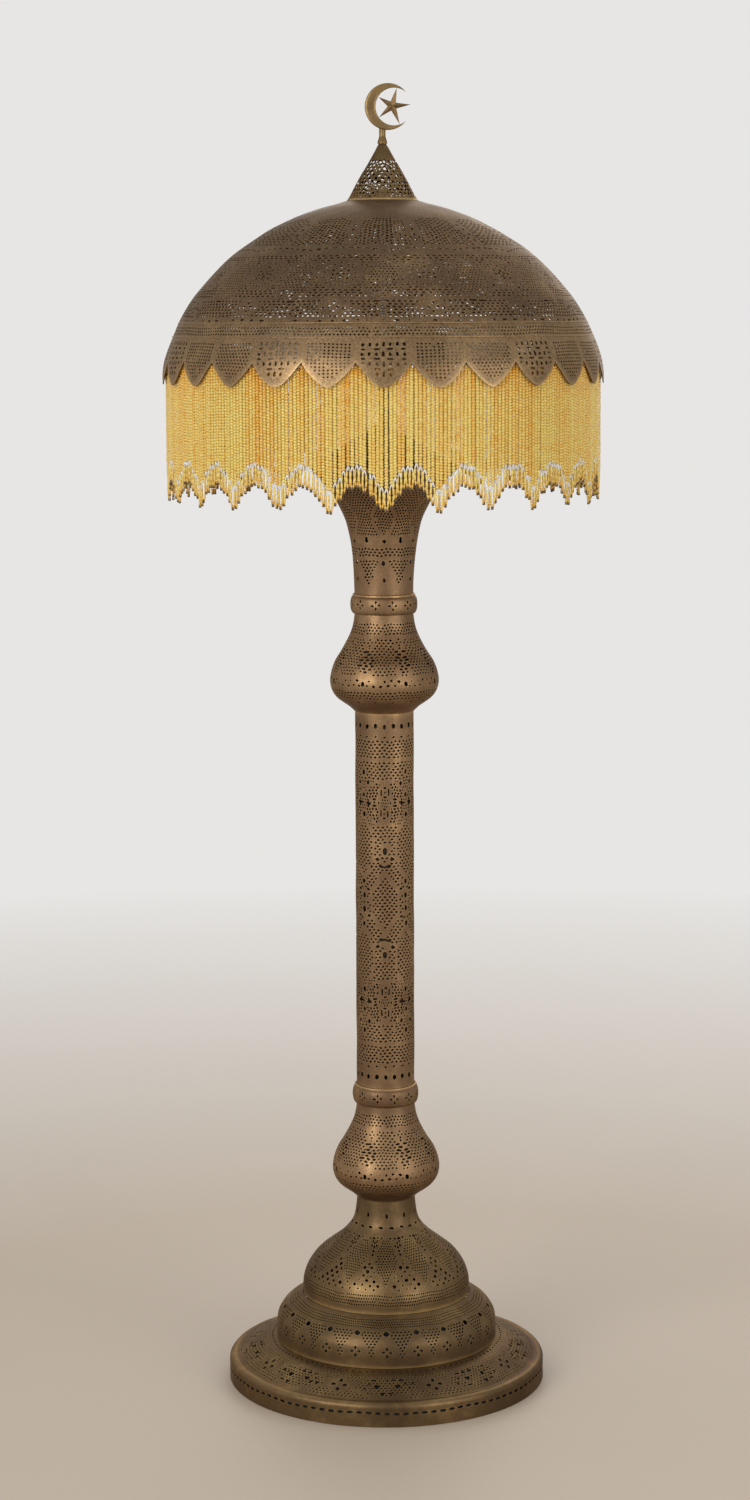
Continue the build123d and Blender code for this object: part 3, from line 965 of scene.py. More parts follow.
@dataclass(frozen=True)
class Brass:
    """Aged brass: warm metal under a grey-brown patina, rubbed bright along its edges.

    Attributes:
        tone: Where the finish is used.
        metal: Colour of the rubbed brass.
        patina: Colour of the tarnish.
        grime: Colour in the darkest clouds.
        roughness: Roughness of the tarnish.
        cloud: Scale of the clouds of tarnish, per metre.
        dust: Weight of the dull film that greys the metal where it is seen edge on.
        metallic: Share of bare metal.
        rim: Colour of the mirroring where the metal is seen edge on.
        fleck: Share of bright and dark flecks.
        painted_shade: Colour of the painted shade on the inner face and in the darkest hollows.
        grain: Scale of the flecks, per metre.
        ripple: Scale of the waves in the surface, per metre.
    """

    tone: Tone
    metal: Colour
    patina: Colour
    grime: Colour
    roughness: float
    cloud: float
    dust: float = 0.1
    metallic: float = 0.75
    rim: Colour = (0.42, 0.34, 0.26)
    fleck: float = 0.2
    painted_shade: Colour = (0.02, 0.013, 0.008)
    grain: float = 420.0
    ripple: float = 95.0

    def material(self) -> bpy.types.Material:
        """Builds the finish.

        Returns:
            A material whose colour and roughness follow clouds, speckle and a stored attribute of
            rubbing, painted highlight and painted shade.
        """
        graph = Graph(self.tone.slot)
        clouds = graph.noise(self.cloud, 4.0, 0.6)
        streaks = graph.noise(3.4 * self.cloud, 3.0, 0.65)
        speckle = graph.noise(self.grain, 2.0, 0.6)
        stored = graph.attribute("wear_and_painted_light")
        wear_and_painted_light = stored.clamped()
        # Below zero the stored attribute darkens the colour towards the colour of painted shade:
        # painted shade on inner faces, on the dark walls inside the column and on the neck's flare,
        # and the darker finial cone.
        inside = (0.0 - stored).clamped()
        rubbed = wear_and_painted_light * 0.8 + streaks.ramp(0.5, 0.78) * 0.4 + speckle.ramp(0.55, 0.8) * self.fleck
        dirty = clouds.ramp(0.42, 0.7) * 0.8 * (1.0 - wear_and_painted_light) + speckle.ramp(0.46, 0.26) * self.fleck
        worn = graph.mix(rubbed.clamped(), self.patina, self.metal)
        colour = graph.mix(dirty.clamped(), worn, self.grime)
        colour = graph.mix(inside * 0.92, colour, self.painted_shade)
        rough = self.roughness + (speckle - 0.5) * 0.16 - rubbed.clamped() * 0.12
        ripple = graph.noise(self.ripple, 2.0, 0.5) * 0.7 + speckle * 0.3
        surface = graph.node(
            "ShaderNodeBsdfPrincipled",
            Base_Color=colour,
            Metallic=self.metallic,
            Roughness=rough,
            Specular_Tint=(*self.rim, 1.0),
            Coat_Weight=self.dust,
            Coat_Roughness=0.45,
            Normal=graph.bump(ripple, 0.4, 0.0007),
        )
        return graph.finish(surface)


@dataclass(frozen=True)
class AmberGlass:
    """Translucent glass beads, from pale straw to deep amber by their tint, and on to a painted
    shadow.

    Attributes:
        pale: Colour at tint 0.
        deep: Colour at tint 1.
        painted_shadow: Colour of the painted shadow at tint 1.3.
        clear: Colour of the clear beads, at tint 2.
        brown: Colour of the tip beads, at tint 3.
    """

    pale: Colour = (1.0, 0.87, 0.31)
    deep: Colour = (0.97, 0.57, 0.06)
    painted_shadow: Colour = (0.34, 0.15, 0.03)
    clear: Colour = (0.95, 0.94, 0.90)
    brown: Colour = (0.16, 0.09, 0.035)

    def material(self) -> bpy.types.Material:
        """Builds the finish: gloss over a body that lets light through."""
        graph = Graph("bead_glass")
        tint = graph.attribute("tint")
        body = graph.mix(tint.clamped(), self.pale, self.deep)
        # Painted shadow: tints from 1.0 to 1.3 darken the glass where it hangs in the dome's shade.
        body = graph.mix(tint.ramp(1.0, 1.3), body, self.painted_shadow)
        body = graph.mix(tint.ramp(1.5, 1.7), body, self.clear)
        body = graph.mix(tint.ramp(2.4, 2.6), body, self.brown)
        return graph.glass(body, 0.18, 0.4)


@dataclass(frozen=True)
class Plain:
    """A finish for a hidden or small piece: a colour broken up by fine noise.

    Attributes:
        name: Name of the material.
        colour: Main colour.
        fleck: Colour of the flecks.
        roughness: Roughness.
        metallic: Metallic share.
        scale: Scale of the flecks, per metre.
        bump: Strength of the surface's grain.
    """

    name: str
    colour: Colour
    fleck: Colour
    roughness: float
    metallic: float = 0.0
    scale: float = 300.0
    bump: float = 0.2

    def material(self) -> bpy.types.Material:
        """Builds the finish."""
        graph = Graph(self.name)
        fleck = graph.noise(self.scale, 3.0, 0.6)
        colour = graph.mix(fleck.ramp(0.35, 0.75), self.colour, self.fleck)
        surface = graph.node(
            "ShaderNodeBsdfPrincipled",
            Base_Color=colour,
            Metallic=self.metallic,
            Roughness=self.roughness + (fleck - 0.5) * 0.2,
            Normal=graph.bump(fleck, self.bump, 0.0004),
        )
        return graph.finish(surface)


@dataclass(frozen=True)
class Frosted:
    """Frosted glass of a bulb, which scatters light through itself."""

    colour: Colour = (0.92, 0.91, 0.86)
    haze: Colour = (0.80, 0.79, 0.74)

    def material(self) -> bpy.types.Material:
        """Builds the finish."""
        graph = Graph("bulb_glass")
        body = graph.mix(graph.noise(60.0), self.colour, self.haze)
        return graph.glass(body, 0.25)


# ---------------------------------------------------------------------------------------------
# The lamp's parts
# ---------------------------------------------------------------------------------------------


@dataclass
class Workshop:
    """What every sub-assembly needs: the finishes and a tally of the pieces made.

    Attributes:
        finishes: Materials by the record's slot.
        made: Triangles of each piece by name.
    """

    finishes: dict[str, bpy.types.Material]
    made: dict[str, int] = field(default_factory=dict)

    def hang(self, piece: bpy.types.Object, body: str, slot: str, *nodes: str) -> None:
        """Dresses a piece in its slot's finish and puts it on its body, in place of CAD nodes."""
        piece.data.materials.clear()
        piece.data.materials.append(self.finishes[slot])
        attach(piece, body)
        if nodes:
            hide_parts(*nodes)
        self.made[piece.name] = triangles(piece)
        log.info("%s: %d triangles", piece.name, self.made[piece.name])

    def mount(self, piece: bpy.types.Object, tone: Tone, *nodes: str) -> None:
        """Hangs a brass piece by its tone."""
        self.hang(piece, tone.body, tone.slot, *nodes)


def span_of(node: str) -> tuple[float, float, float]:
    """Greatest radius, lowest and highest level of a turned node."""
    low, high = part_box(node)
    return (high[0] - low[0]) / 2, low[2], high[2]


@dataclass
class Profile(PiercedShell):
    """A pierced shell whose outline runs through stations.

    Attributes:
        stations: Outline as (share of the way out from the inner radius to the node's own radius,
            share of its height).
        inner: The node whose greatest radius is the inner radius, or none for the axis.
    """

    stations: tuple[tuple[float, float], ...] = ()
    inner: str = "column_tube"

    def outline(self) -> Outline:
        """The outer face, in the stations' order."""
        inner = span_of(self.inner)[0] if self.inner else 0.0
        radius, low, high = span_of(self.node)
        return Outline.through(
            [(inner + out * (radius - inner), low + up * (high - low)) for out, up in self.stations]
        )


@dataclass
class Knop(Profile):
    """An onion knop of the column.

    Attributes:
        motifs: Repeats of the pattern round the knop.
    """

    stations: tuple[tuple[float, float], ...] = (
        (0.0, 0.0),
        (0.24, 0.055),
        (0.52, 0.105),
        (0.76, 0.155),
        (0.93, 0.225),
        (1.0, 0.31),
        (0.965, 0.39),
        (0.80, 0.51),
        (0.52, 0.625),
        (0.25, 0.755),
        (0.10, 0.85),
        (0.03, 0.93),
        (0.0, 1.0),
    )
    motifs: int = 8

    def bands(self, outline: Outline) -> list[Band]:
        """The belly, and the neck with fewer columns."""
        return stacked(self.node, (("belly", 160), ("neck", 112)), 0.62 * outline.length)

    def pattern(self, sheet: Sheet) -> Array:
        """Bands of lattice at the neck and below the belly, with a ground of lattice between them.

        Arches of upright dashes and small hearts of long ones lie in the ground by turns, each in a
        plain border. Uneven round holes go round the belly, and ovals below the lower band.
        """
        size = sheet.length
        x, off = sheet.on_and_off(self.motifs)
        arch = leaf_at(x, sheet.up(0.60 * size), 30 * MM, 84 * MM)
        heart = leaf_at(off, sheet.up(0.56 * size), 15 * MM, 40 * MM)
        field_edge = sheet.band(0.435 * size, 0.795 * size)
        low = sheet.band(0.335 * size, 0.43 * size)
        ground = without(without(sheet.net(0.60), arch - 2.2 * MM), heart - 2.4 * MM)
        return any_of(
            within(sheet.net(0.82), sheet.band(0.815 * size, 0.925 * size)),
            within(within(sheet.net(0.57), arch), field_edge),
            within(within(sheet.net(0.52, wide=2), heart), field_edge),
            within(ground, field_edge),
            within(without(sheet.shots(48, 5.4 * MM, 3.0 * MM), np.abs(off) - 3.4 * MM), low),
            within(slot_at(off, sheet.up(0.385 * size), 3.4 * MM, 7.0 * MM), low),
            within(sheet.net(0.78), sheet.band(0.225 * size, 0.315 * size)),
            oval(sheet.across(2 * self.motifs, 0.5), sheet.up(0.195 * size), 4.6 * MM, 3.4 * MM),
        )

    def rubbed(self, sheet: Sheet) -> Array:
        """Bright round the belly and at the lower edge."""
        share = sheet.along / sheet.length
        return 0.12 * near(share - 0.36, 0.11) + 0.8 * near(sheet.along, 2.2 * MM)


@dataclass
class Collar(PiercedShell):
    """A swollen ring between a knop and a tube.

    Attributes:
        crosses: Crosses of four petals round the ring.
        petal: Length and width of a petal.
    """

    crosses: int = 12
    petal: tuple[float, float] = (4.4 * MM, 2.6 * MM)

    def outline(self) -> Outline:
        """The ring's outer face: a bulge that is half an ellipse, under a thin upper flange."""
        tube, _, _ = span_of("column_tube")
        radius, low, high = span_of(self.node)
        edge, flange = tube + 0.7 * MM, 2.2 * MM
        swing = np.linspace(-0.5, 0.46, 15) * math.pi
        middle, half = (low + high - flange) / 2, (high - low - flange) / 2
        swell = edge + (radius - edge) * np.cos(swing) ** 0.8
        bulge = np.stack([swell, middle + half * np.sin(swing)], 1)
        lip = [(edge + 1.7 * MM, high - 1.9 * MM), (edge + 1.7 * MM, high - 0.4 * MM), (edge, high)]
        return Outline.sampled(np.vstack([bulge, lip]))

    def bands(self, outline: Outline) -> list[Band]:
        """One piece."""
        return stacked(self.node, (("pierced", 144),))

    def pattern(self, sheet: Sheet) -> Array:
        """A row of crosses."""
        long, wide = self.petal
        x = sheet.across(self.crosses, 0.5)
        return petals(x, sheet.up(sheet.length / 2), 0.5 * long + 0.6 * wide, long, wide)

    def rubbed(self, sheet: Sheet) -> Array:
        """Bright flanges."""
        return np.exp(-(((sheet.length - sheet.along) / (3.4 * MM)) ** 4))


@dataclass
class Tube(PiercedShell):
    """The tube between the collars.

    Attributes:
        motifs: Medallions round the tube.
        slots: Slots round each end.
        medallion: Level of the medallions above and below the middle.
        window: Half the height of the bands that hold the medallions.
    """

    motifs: int = 4
    slots: int = 20
    medallion: float = 118.8 * MM
    window: float = 27.0 * MM

    def outline(self) -> Outline:
        """A straight wall."""
        radius, low, high = span_of(self.node)
        return Outline.sampled(np.array([(radius, low), (radius, high)]))

    def bands(self, outline: Outline) -> list[Band]:
        """Five pieces; the two with the medallions have twice the columns."""
        half = outline.length / 2
        levels = (half - self.medallion, half + self.medallion)
        rings = (("foot", 80), ("lower", 160), ("middle", 80), ("upper", 160), ("head", 80))
        joins = [level + side * self.window for level in levels for side in (-1, 1)]
        return stacked(self.node, rings, *joins)

    def pattern(self, sheet: Sheet) -> Array:
        """Two halves that mirror each other.

        Slots and a band of lattice close each end. Below come medallions of four oval rings, then
        pointed fields of lattice half way between them and others in the middle. Each has a plain
        border in a ground of finer lattice, with single ovals in it.
        """
        half = sheet.length / 2
        y = np.abs(sheet.snapped(sheet.along, half))
        x, off = sheet.on_and_off(self.motifs)
        slots = sheet.across(self.slots)
        side = leaf_at(off, y - 66 * MM, 26 * MM, 66 * MM)
        centre = leaf_at(x, y, 32 * MM, 66 * MM)
        fields = np.minimum(side, centre)
        eyes = self._ovals(x, off, y)
        rosette = np.hypot(x, (y - self.medallion) * 0.8) - 24 * MM
        plain = any_of(fields - 2.6 * MM, eyes - 2.0 * MM, rosette)
        ground = within(without(sheet.net(0.72), plain), y - half + 56 * MM)
        return any_of(
            slot_at(slots, sheet.snapped(y, half - 14.5 * MM), 2.4 * MM, 6.6 * MM),
            slot_at(slots, sheet.snapped(y, half - 27 * MM), 5.2 * MM, 2.4 * MM),
            within(sheet.net(0.82), np.maximum(half - 51 * MM - y, y - half + 31 * MM)),
            self._medallion(sheet, x, sheet.snapped(y, self.medallion)),
            within(sheet.net(0.82), fields),
            ground,
            eyes,
        )

    def _medallion(self, sheet: Sheet, x: Array, y: Array) -> Array:
        """Four oval rings about a small square of lattice, in rays of dashes.

        Lattice closes both ends. Each ring is two long slots and two short ones round a narrow
        eye, which stay apart so that the metal inside them holds.
        """
        side, rise = np.abs(x), np.abs(y)
        up, out = rise - 12.6 * MM, side - 11.9 * MM
        rings = any_of(
            slot_at(side - 4.0 * MM, up, 1.7 * MM, 8.2 * MM),
            slot_at(x, np.abs(up) - 5.4 * MM, 3.6 * MM, 1.9 * MM),
            slot_at(x, up, 1.7 * MM, 3.8 * MM),
            slot_at(out, rise - 3.6 * MM, 5.6 * MM, 1.9 * MM),
            slot_at(np.abs(out) - 5.3 * MM, y, 1.7 * MM, 3.8 * MM),
            slot_at(out, y, 3.2 * MM, 1.9 * MM),
        )
        heart = side + rise - 6.4 * MM
        arm = np.maximum(side - (50 * MM - rise) * 0.34, 27.5 * MM - rise)
        corner = np.maximum(np.hypot(side, rise) - 25 * MM, 6.8 * MM - np.minimum(side, rise))
        rim = np.maximum(np.abs(np.hypot(side, rise) - 22.5 * MM) - 2.6 * MM, 5.5 * MM - side)
        return any_of(
            rings,
            within(sheet.net(0.66), heart),
            within(sheet.net(0.74), np.maximum(arm, rise - 46 * MM)),
            within(sheet.net(0.62, wide=2), np.minimum(corner, rim)),
        )

    def _ovals(self, x: Array, off: Array, y: Array) -> Array:
        """Single holes in the plain parts."""
        return any_of(
            oval(off, y - 104 * MM, 3.8 * MM, 7.0 * MM),
            oval(x, y - 62 * MM, 4.4 * MM, 9.0 * MM),
            oval(np.abs(x) - 9 * MM, y - 52 * MM, 4.0 * MM, 5.0 * MM),
            oval(np.abs(x) - 4.5 * MM, y - 44 * MM, 4.6 * MM, 4.6 * MM),
            oval(np.abs(off) - 6.7 * MM, y - 118 * MM, 3.6 * MM, 5.4 * MM),
            oval(off, y - 128 * MM, 4.0 * MM, 5.6 * MM),
            oval(np.abs(off) - 6.7 * MM, y - 142 * MM, 3.6 * MM, 5.4 * MM),
            oval(off, y - 154 * MM, 3.8 * MM, 6.4 * MM),
            oval(off, y - 25 * MM, 3.8 * MM, 6.4 * MM),
            oval(off, y - 8 * MM, 4.4 * MM, 7.4 * MM),
            oval(np.abs(off) - 6.7 * MM, y - 16 * MM, 3.6 * MM, 4.8 * MM),
        )

    def rubbed(self, sheet: Sheet) -> Array:
        """Bright ends."""
        edge = np.minimum(sheet.along, sheet.length - sheet.along)
        return 0.5 * np.exp(-edge / (3 * MM))


@dataclass
class Neck(Profile):
    """The trumpet-shaped neck.

    Attributes:
        motifs: Repeats of the pattern round the neck.
    """

    stations: tuple[tuple[float, float], ...] = (
        (0.0, 0.0),
        (0.010, 0.13),
        (0.033, 0.262),
        (0.077, 0.388),
        (0.145, 0.516),
        (0.20, 0.585),
        (0.335, 0.689),
        (0.478, 0.776),
        (0.729, 0.878),
        (0.97, 0.968),
        (1.0, 1.0),
    )
    motifs: int = 6

    def bands(self, outline: Outline) -> list[Band]:
        """The pipe, and the flare with more columns."""
        return stacked(self.node, (("pipe", 96), ("flare", 168)), 64 * MM)

    def pattern(self, sheet: Sheet) -> Array:
        """Hanging triangles of lattice, a band, then panels parted by leaf-shaped plain borders."""
        x, off = sheet.on_and_off(self.motifs)
        sides = np.abs(off) - (sheet.along - 9 * MM) * 0.42
        drop = np.maximum(sides, sheet.band(12 * MM, 42 * MM))
        drop = np.maximum(drop, np.abs(off) - 13.5 * MM)
        leaf = leaf_at(x, sheet.up(94 * MM), 26 * MM, 50 * MM)
        panel = without(sheet.net(0.88), np.abs(leaf) - 2.0 * MM)
        return any_of(
            within(sheet.net(0.82), drop),
            within(sheet.net(0.80), sheet.band(45 * MM, 57 * MM)),
            within(panel, sheet.band(70 * MM, 0.95 * sheet.length)),
            oval(x, sheet.up(38 * MM), 4.4 * MM, 6.4 * MM),
            oval(x, sheet.up(18 * MM), 3.8 * MM, 5.6 * MM),
            oval(sheet.across(12), sheet.up(62 * MM), 4.0 * MM, 4.4 * MM),
            oval(off, sheet.up(66 * MM), 3.4 * MM, 3.6 * MM),
        )

    def rubbed(self, sheet: Sheet) -> Array:
        """A bright mouth above a flare with painted shade, darker towards the top under the fringe.
        """
        share = np.clip(sheet.along / sheet.length, 0, 1)
        # Painted shade: the flare darkens towards its mouth, where the fringe shades it.
        return 1.3 * near(sheet.length - sheet.along, 2.0 * MM) - 0.3 * share**3


@dataclass
class Bell(Profile):
    """The foot's bell.

    Attributes:
        motifs: Leaves round the bell.
    """

    stations: tuple[tuple[float, float], ...] = (
        (1.0, 0.0),
        (1.0, 0.045),
        (0.997, 0.085),
        (0.985, 0.145),
        (0.916, 0.261),
        (0.759, 0.390),
        (0.537, 0.497),
        (0.313, 0.593),
        (0.175, 0.672),
        (0.085, 0.745),
        (0.040, 0.82),
        (0.018, 0.90),
        (0.0, 1.0),
    )
    motifs: int = 12

    def bands(self, outline: Outline) -> list[Band]:
        """Hem, skirt, body and neck, each with fewer columns than the last."""
        rings = (("hem", 432), ("skirt", 336), ("body", 240), ("neck", 120))
        return stacked(self.node, rings, *(share * outline.length for share in (0.19, 0.44, 0.68)))

    def pattern(self, sheet: Sheet) -> Array:
        """A fine band at the hem, leaves of lattice between uneven holes, and slots at the neck.

        The leaves stand side by side in plain borders. Round holes fill the spaces between them and
        the belt below.
        """
        size = sheet.length
        down = sheet.up(size)
        leaf = leaf_at(sheet.across(self.motifs), sheet.up(0.47 * size), 25 * MM, 62 * MM)
        upper = np.maximum(sheet.band(0.50 * size, 0.70 * size), 3.0 * MM - leaf)
        holes = without(sheet.shots(60, 5.6 * MM, 3.6 * MM), leaf - 3.2 * MM)
        return any_of(
            within(sheet.net(0.80), sheet.band(0.055 * size, 0.17 * size)),
            within(sheet.net(0.82), leaf),
            within(holes, sheet.band(0.20 * size, 0.50 * size)),
            within(sheet.net(0.62, tall=2), upper),
            slot_at(sheet.across(20, 0.5), down + 31 * MM, 5.2 * MM, 2.4 * MM),
            slot_at(sheet.across(10), down + 16 * MM, 2.4 * MM, 6.6 * MM),
        )

    def rubbed(self, sheet: Sheet) -> Array:
        """A bright hem."""
        return near(sheet.along, 3.2 * MM)


@dataclass
class Drum(Profile):
    """The foot's drum.

    Attributes:
        holes: Larger holes round the drum.
    """

    stations: tuple[tuple[float, float], ...] = (
        (1.0, 0.0),
        (1.0, 0.14),
        (1.0, 0.29),
        (0.94, 0.50),
        (0.73, 0.697),
        (0.52, 0.80),
        (0.31, 0.88),
        (0.02, 0.995),
    )
    inner: str = "base_bell"
    holes: int = 22

    def bands(self, outline: Outline) -> list[Band]:
        """The wall, and the shoulder with finer columns."""
        return stacked(self.node, (("wall", 352), ("shoulder", 528)), 0.70 * outline.length)

    def pattern(self, sheet: Sheet) -> Array:
        """A fine band on the shoulder, and triangles of lattice between round holes."""
        size = sheet.length
        x, off = sheet.on_and_off(self.holes)
        row = sheet.up(0.60 * size)
        sides = np.abs(off) - (sheet.along - 0.17 * size) * 0.46
        triangle = np.maximum(sides, sheet.band(0.2 * size, 0.65 * size))
        return any_of(
            within(without(sheet.net(0.85), oval(x, row, 11 * MM, 11 * MM)), triangle),
            oval(x, row, 6.0 * MM, 6.0 * MM),
            petals(x, sheet.up(0.29 * size), 4.4 * MM, 4.6 * MM, 3.4 * MM),
            within(sheet.net(0.82), sheet.band(0.73 * size, 0.90 * size)),
        )

    def rubbed(self, sheet: Sheet) -> Array:
        """A bright foot edge."""
        return near(sheet.along, 2.6 * MM)


@dataclass
class Tray(PiercedShell):
    """The foot's tray.

    Attributes:
        lip: Level of the rim's top.
        slots: Slots round the rim.
        motifs: Groups of larger holes round the top.
    """

    lip: float = 28.5 * MM
    slots: int = 108
    motifs: int = 9

    def outline(self) -> Outline:
        """Upright rim, rounded lip and a top that rises to the drum."""
        inner, _, _ = span_of("base_drum")
        radius, low, high = span_of(self.node)
        return Outline.rounded(
            [
                (radius, low, 0.0),
                (radius, self.lip, 6.0 * MM),
                (radius - 10 * MM, self.lip - 0.2 * MM, 4.0 * MM),
                (inner + 14 * MM, high - 3.5 * MM, 40 * MM),
                (inner - 1.5 * MM, high, 0.0),
            ]
        )

    def bands(self, outline: Outline) -> list[Band]:
        """Rim and top."""
        return stacked(self.node, (("rim", 432), ("top", 432)), 34 * MM)

    def pattern(self, sheet: Sheet) -> Array:
        """Slots in the rim, and on the top leaf-shaped fields with larger holes between them."""
        top = sheet.length - 55 * MM
        x, off = sheet.on_and_off(self.motifs)
        y = sheet.up(top + 22 * MM)
        leaf = leaf_at(y, x, 34 * MM, 84 * MM)
        fields = without(sheet.net(0.68), np.abs(leaf) - 2.6 * MM)
        clear = oval(off, y, 30 * MM, 26 * MM)
        loose = within(sheet.shots(120, 6.6 * MM, 2.8 * MM), np.abs(leaf + 7.0 * MM) - 3.4 * MM)
        return any_of(
            slot_at(sheet.across(self.slots), sheet.up(16.6 * MM), 6.8 * MM, 3.2 * MM),
            within(without(fields, clear), sheet.band(top + 4 * MM, top + 40 * MM)),
            within(without(loose, clear), sheet.band(top + 6 * MM, top + 38 * MM)),
            petals(off, y, 7.0 * MM, 6.0 * MM, 4.6 * MM),
            oval(np.abs(x) - 12 * MM, y, 5.6 * MM, 4.4 * MM),
            slot_at(sheet.across(self.slots), sheet.up(sheet.length - 8 * MM), 4.8 * MM, 2.4 * MM),
        )

    def rubbed(self, sheet: Sheet) -> Array:
        """A painted highlight along the lip."""
        # Painted highlight: a thin light line along the rounded lip.
        return 0.4 * near(sheet.along - 30 * MM, 2.6 * MM)


@dataclass
class Dome(Profile):
    """The pierced dome with its scalloped hem.

    Attributes:
        lobes: Lobes of the hem.
        depth: Height of a lobe.
        motifs: Leaves round the dome.
        wires: Distances along the outline of the wires that part the lower bands.
        wire: Thickness of a wire.
        wire_columns: Columns round a wire.
    """

    thickness: float = 1.2 * MM
    step: float = 1.85 * MM
    painted_shade: float = 0.8
    stations: tuple[tuple[float, float], ...] = (
        (1.0, 0.0),
        (1.0, 0.025),
        (0.999, 0.06),
        (0.990, 0.130),
        (0.959, 0.237),
        (0.919, 0.347),
        (0.865, 0.457),
        (0.791, 0.567),
        (0.723, 0.655),
        (0.660, 0.721),
        (0.583, 0.786),
        (0.526, 0.830),
        (0.459, 0.873),
        (0.382, 0.917),
        (0.278, 0.961),
        (0.202, 0.984),
        (0.163, 0.999),
    )
    inner: str = ""
    lobes: int = 26
    depth: float = 27.0 * MM
    motifs: int = 13
    wires: tuple[float, ...] = (55.8 * MM, 72.6 * MM)
    wire: float = 1.5 * MM
    wire_columns: int = 260

    def bands(self, outline: Outline) -> list[Band]:
        """Six rings, with fewer columns where the dome is narrower."""
        names = ("hem", "belt", "leaves", "shoulder", "crown", "top")
        rings = list(zip(names, (676, 676, 572, 468, 364, 208)))
        return stacked("dome", rings, *(level * MM for level in (56, 103, 150, 200, 252)))

    def hem(self, sheet: Sheet) -> Array:
        """Signed distance over the scalloped edge, positive on the metal side.

        The edge rises from each tip to the notch as a power of the share of half a lobe, which is
        round at the tip and sharp at the notch.
        """
        share = np.abs(sheet.across(self.lobes)) / sheet.radius * self.lobes / math.pi
        return (sheet.along - self.depth * share**1.55) * 0.72

    def pattern(self, sheet: Sheet) -> Array:
        """The whole piercing, from the hem upwards."""
        hem = self.hem(sheet)
        dashes = 4 * self.lobes
        width = (0.5 + 0.6 * scatter(sheet.number(dashes))) * 6.6 * MM
        width = np.where(scatter(sheet.number(dashes), 3.0) > 0.82, 0.1 * MM, width)
        holes = any_of(
            self._lobe_fields(sheet),
            within(sheet.net(0.66), sheet.band(59 * MM, 70 * MM)),
            slot_at(sheet.across(dashes), sheet.up(76.5 * MM), width, 2.4 * MM),
            self._medallions(sheet),
            self._leaves(sheet),
            self._panels(sheet),
        )
        return np.where(hem < 5.2 * MM, hem, holes)

    def _lobe_fields(self, sheet: Sheet) -> Array:
        """A field in every lobe, parted by plain ribs.

        By turns it is square lattice, staggered lattice, or tiles of an eye between upright slots,
        with a long dash over each.
        """
        kind = sheet.number(self.lobes) % 3
        tile = 4 * self.lobes
        y = (sheet.along - 9 * MM) % (11.1 * MM) - 5.55 * MM
        tiles = any_of(
            slot_at(sheet.across(tile), y, 2.4 * MM, 6.2 * MM),
            oval(sheet.across(tile, 0.5), y, 3.6 * MM, 4.6 * MM),
            slot_at(sheet.across(tile, 0.5), np.abs(y) - 5.2 * MM, 8.0 * MM, 1.9 * MM),
        )
        square, fine = sheet.net(0.72, stagger=False), sheet.net(0.68)
        field_of = np.where(kind == 0, tiles, np.where(kind == 1, square, fine))
        rib = np.abs(sheet.across(self.lobes)) - 25.0 * MM
        return within(field_of, np.maximum(sheet.along - 50 * MM, rib))

    def _medallions(self, sheet: Sheet) -> Array:
        """Plain ovals with six holes, in a belt of dashes."""
        x, y = sheet.across(self.motifs, 0.5), sheet.up(92 * MM)
        plain = oval(x, y, 36 * MM, 20 * MM)
        holes = any_of(
            oval(np.abs(x) - 5 * MM, y, 3.8 * MM, 4.6 * MM),
            oval(np.abs(x) - 12 * MM, y + 2 * MM, 4.4 * MM, 3.8 * MM),
            oval(x, np.abs(y) - 5.5 * MM, 3.8 * MM, 3.8 * MM),
        )
        rest = without(sheet.net(0.47, wide=2), plain)
        return any_of(within(rest, sheet.band(81 * MM, 103 * MM)), holes)

    def _leaves(self, sheet: Sheet) -> Array:
        """Leaves of lattice and roundels with rosettes, in plain borders and rings of holes."""
        x, off = sheet.on_and_off(self.motifs)
        y, z = sheet.up(132 * MM), sheet.up(138 * MM)
        leaf = leaf_at(x, y, 34 * MM, 58 * MM)
        disc = oval(off, z, 42 * MM, 40 * MM)
        ring = np.minimum(np.abs(leaf - 5.0 * MM), np.abs(disc + 3.4 * MM)) - 2.0 * MM
        ground = without(without(sheet.net(0.52, wide=2), leaf - 8.5 * MM), disc - 3.5 * MM)
        heart = within(sheet.net(0.60, tall=2), disc + 8.5 * MM)
        return any_of(
            within(sheet.net(0.72), leaf),
            within(sheet.net(0.68), ring),
            without(heart, oval(off, z, 14 * MM, 14 * MM)),
            petals(off, z, 3.6 * MM, 4.6 * MM, 3.0 * MM),
            within(ground, sheet.band(107 * MM, 169 * MM)),
        )

    def _panels(self, sheet: Sheet) -> Array:
        """A garland of dashes, then arched panels of upright dashes with holes between them."""
        x, off = sheet.on_and_off(self.motifs)
        sag = 5.0 * MM * np.abs(np.sin(self.motifs / 2 * sheet.turn))
        dash = sheet.across(9 * self.motifs)
        dash = slot_at(dash, sheet.up(175 * MM) - sag, 5.2 * MM, 2.2 * MM)
        half = sheet.radius * math.pi / self.motifs
        top = 247 * MM - 14 * MM * (x / half) ** 2
        panel = np.maximum(185 * MM - sheet.along, sheet.along - top)
        panel = np.maximum(panel, np.abs(x) - half + 5 * MM)
        gap = oval(off, sheet.up(190 * MM) % (11 * MM) - 5.5 * MM, 3.8 * MM, 5.6 * MM)
        gap = within(gap, sheet.band(188 * MM, 236 * MM))
        return any_of(dash, within(sheet.net(0.58, tall=2), panel), gap)

    def rubbed(self, sheet: Sheet) -> Array:
        """A bright scalloped edge, and a painted highlight that makes the hem brighter than the
        rest, where its upright wall faces the light.
        """
        # Painted highlight on the hem's upright wall.
        hem = 0.5 * np.clip((84 * MM - sheet.along) / (20 * MM), 0, 1)
        return 0.6 * near(self.hem(sheet), 2.2 * MM) + hem

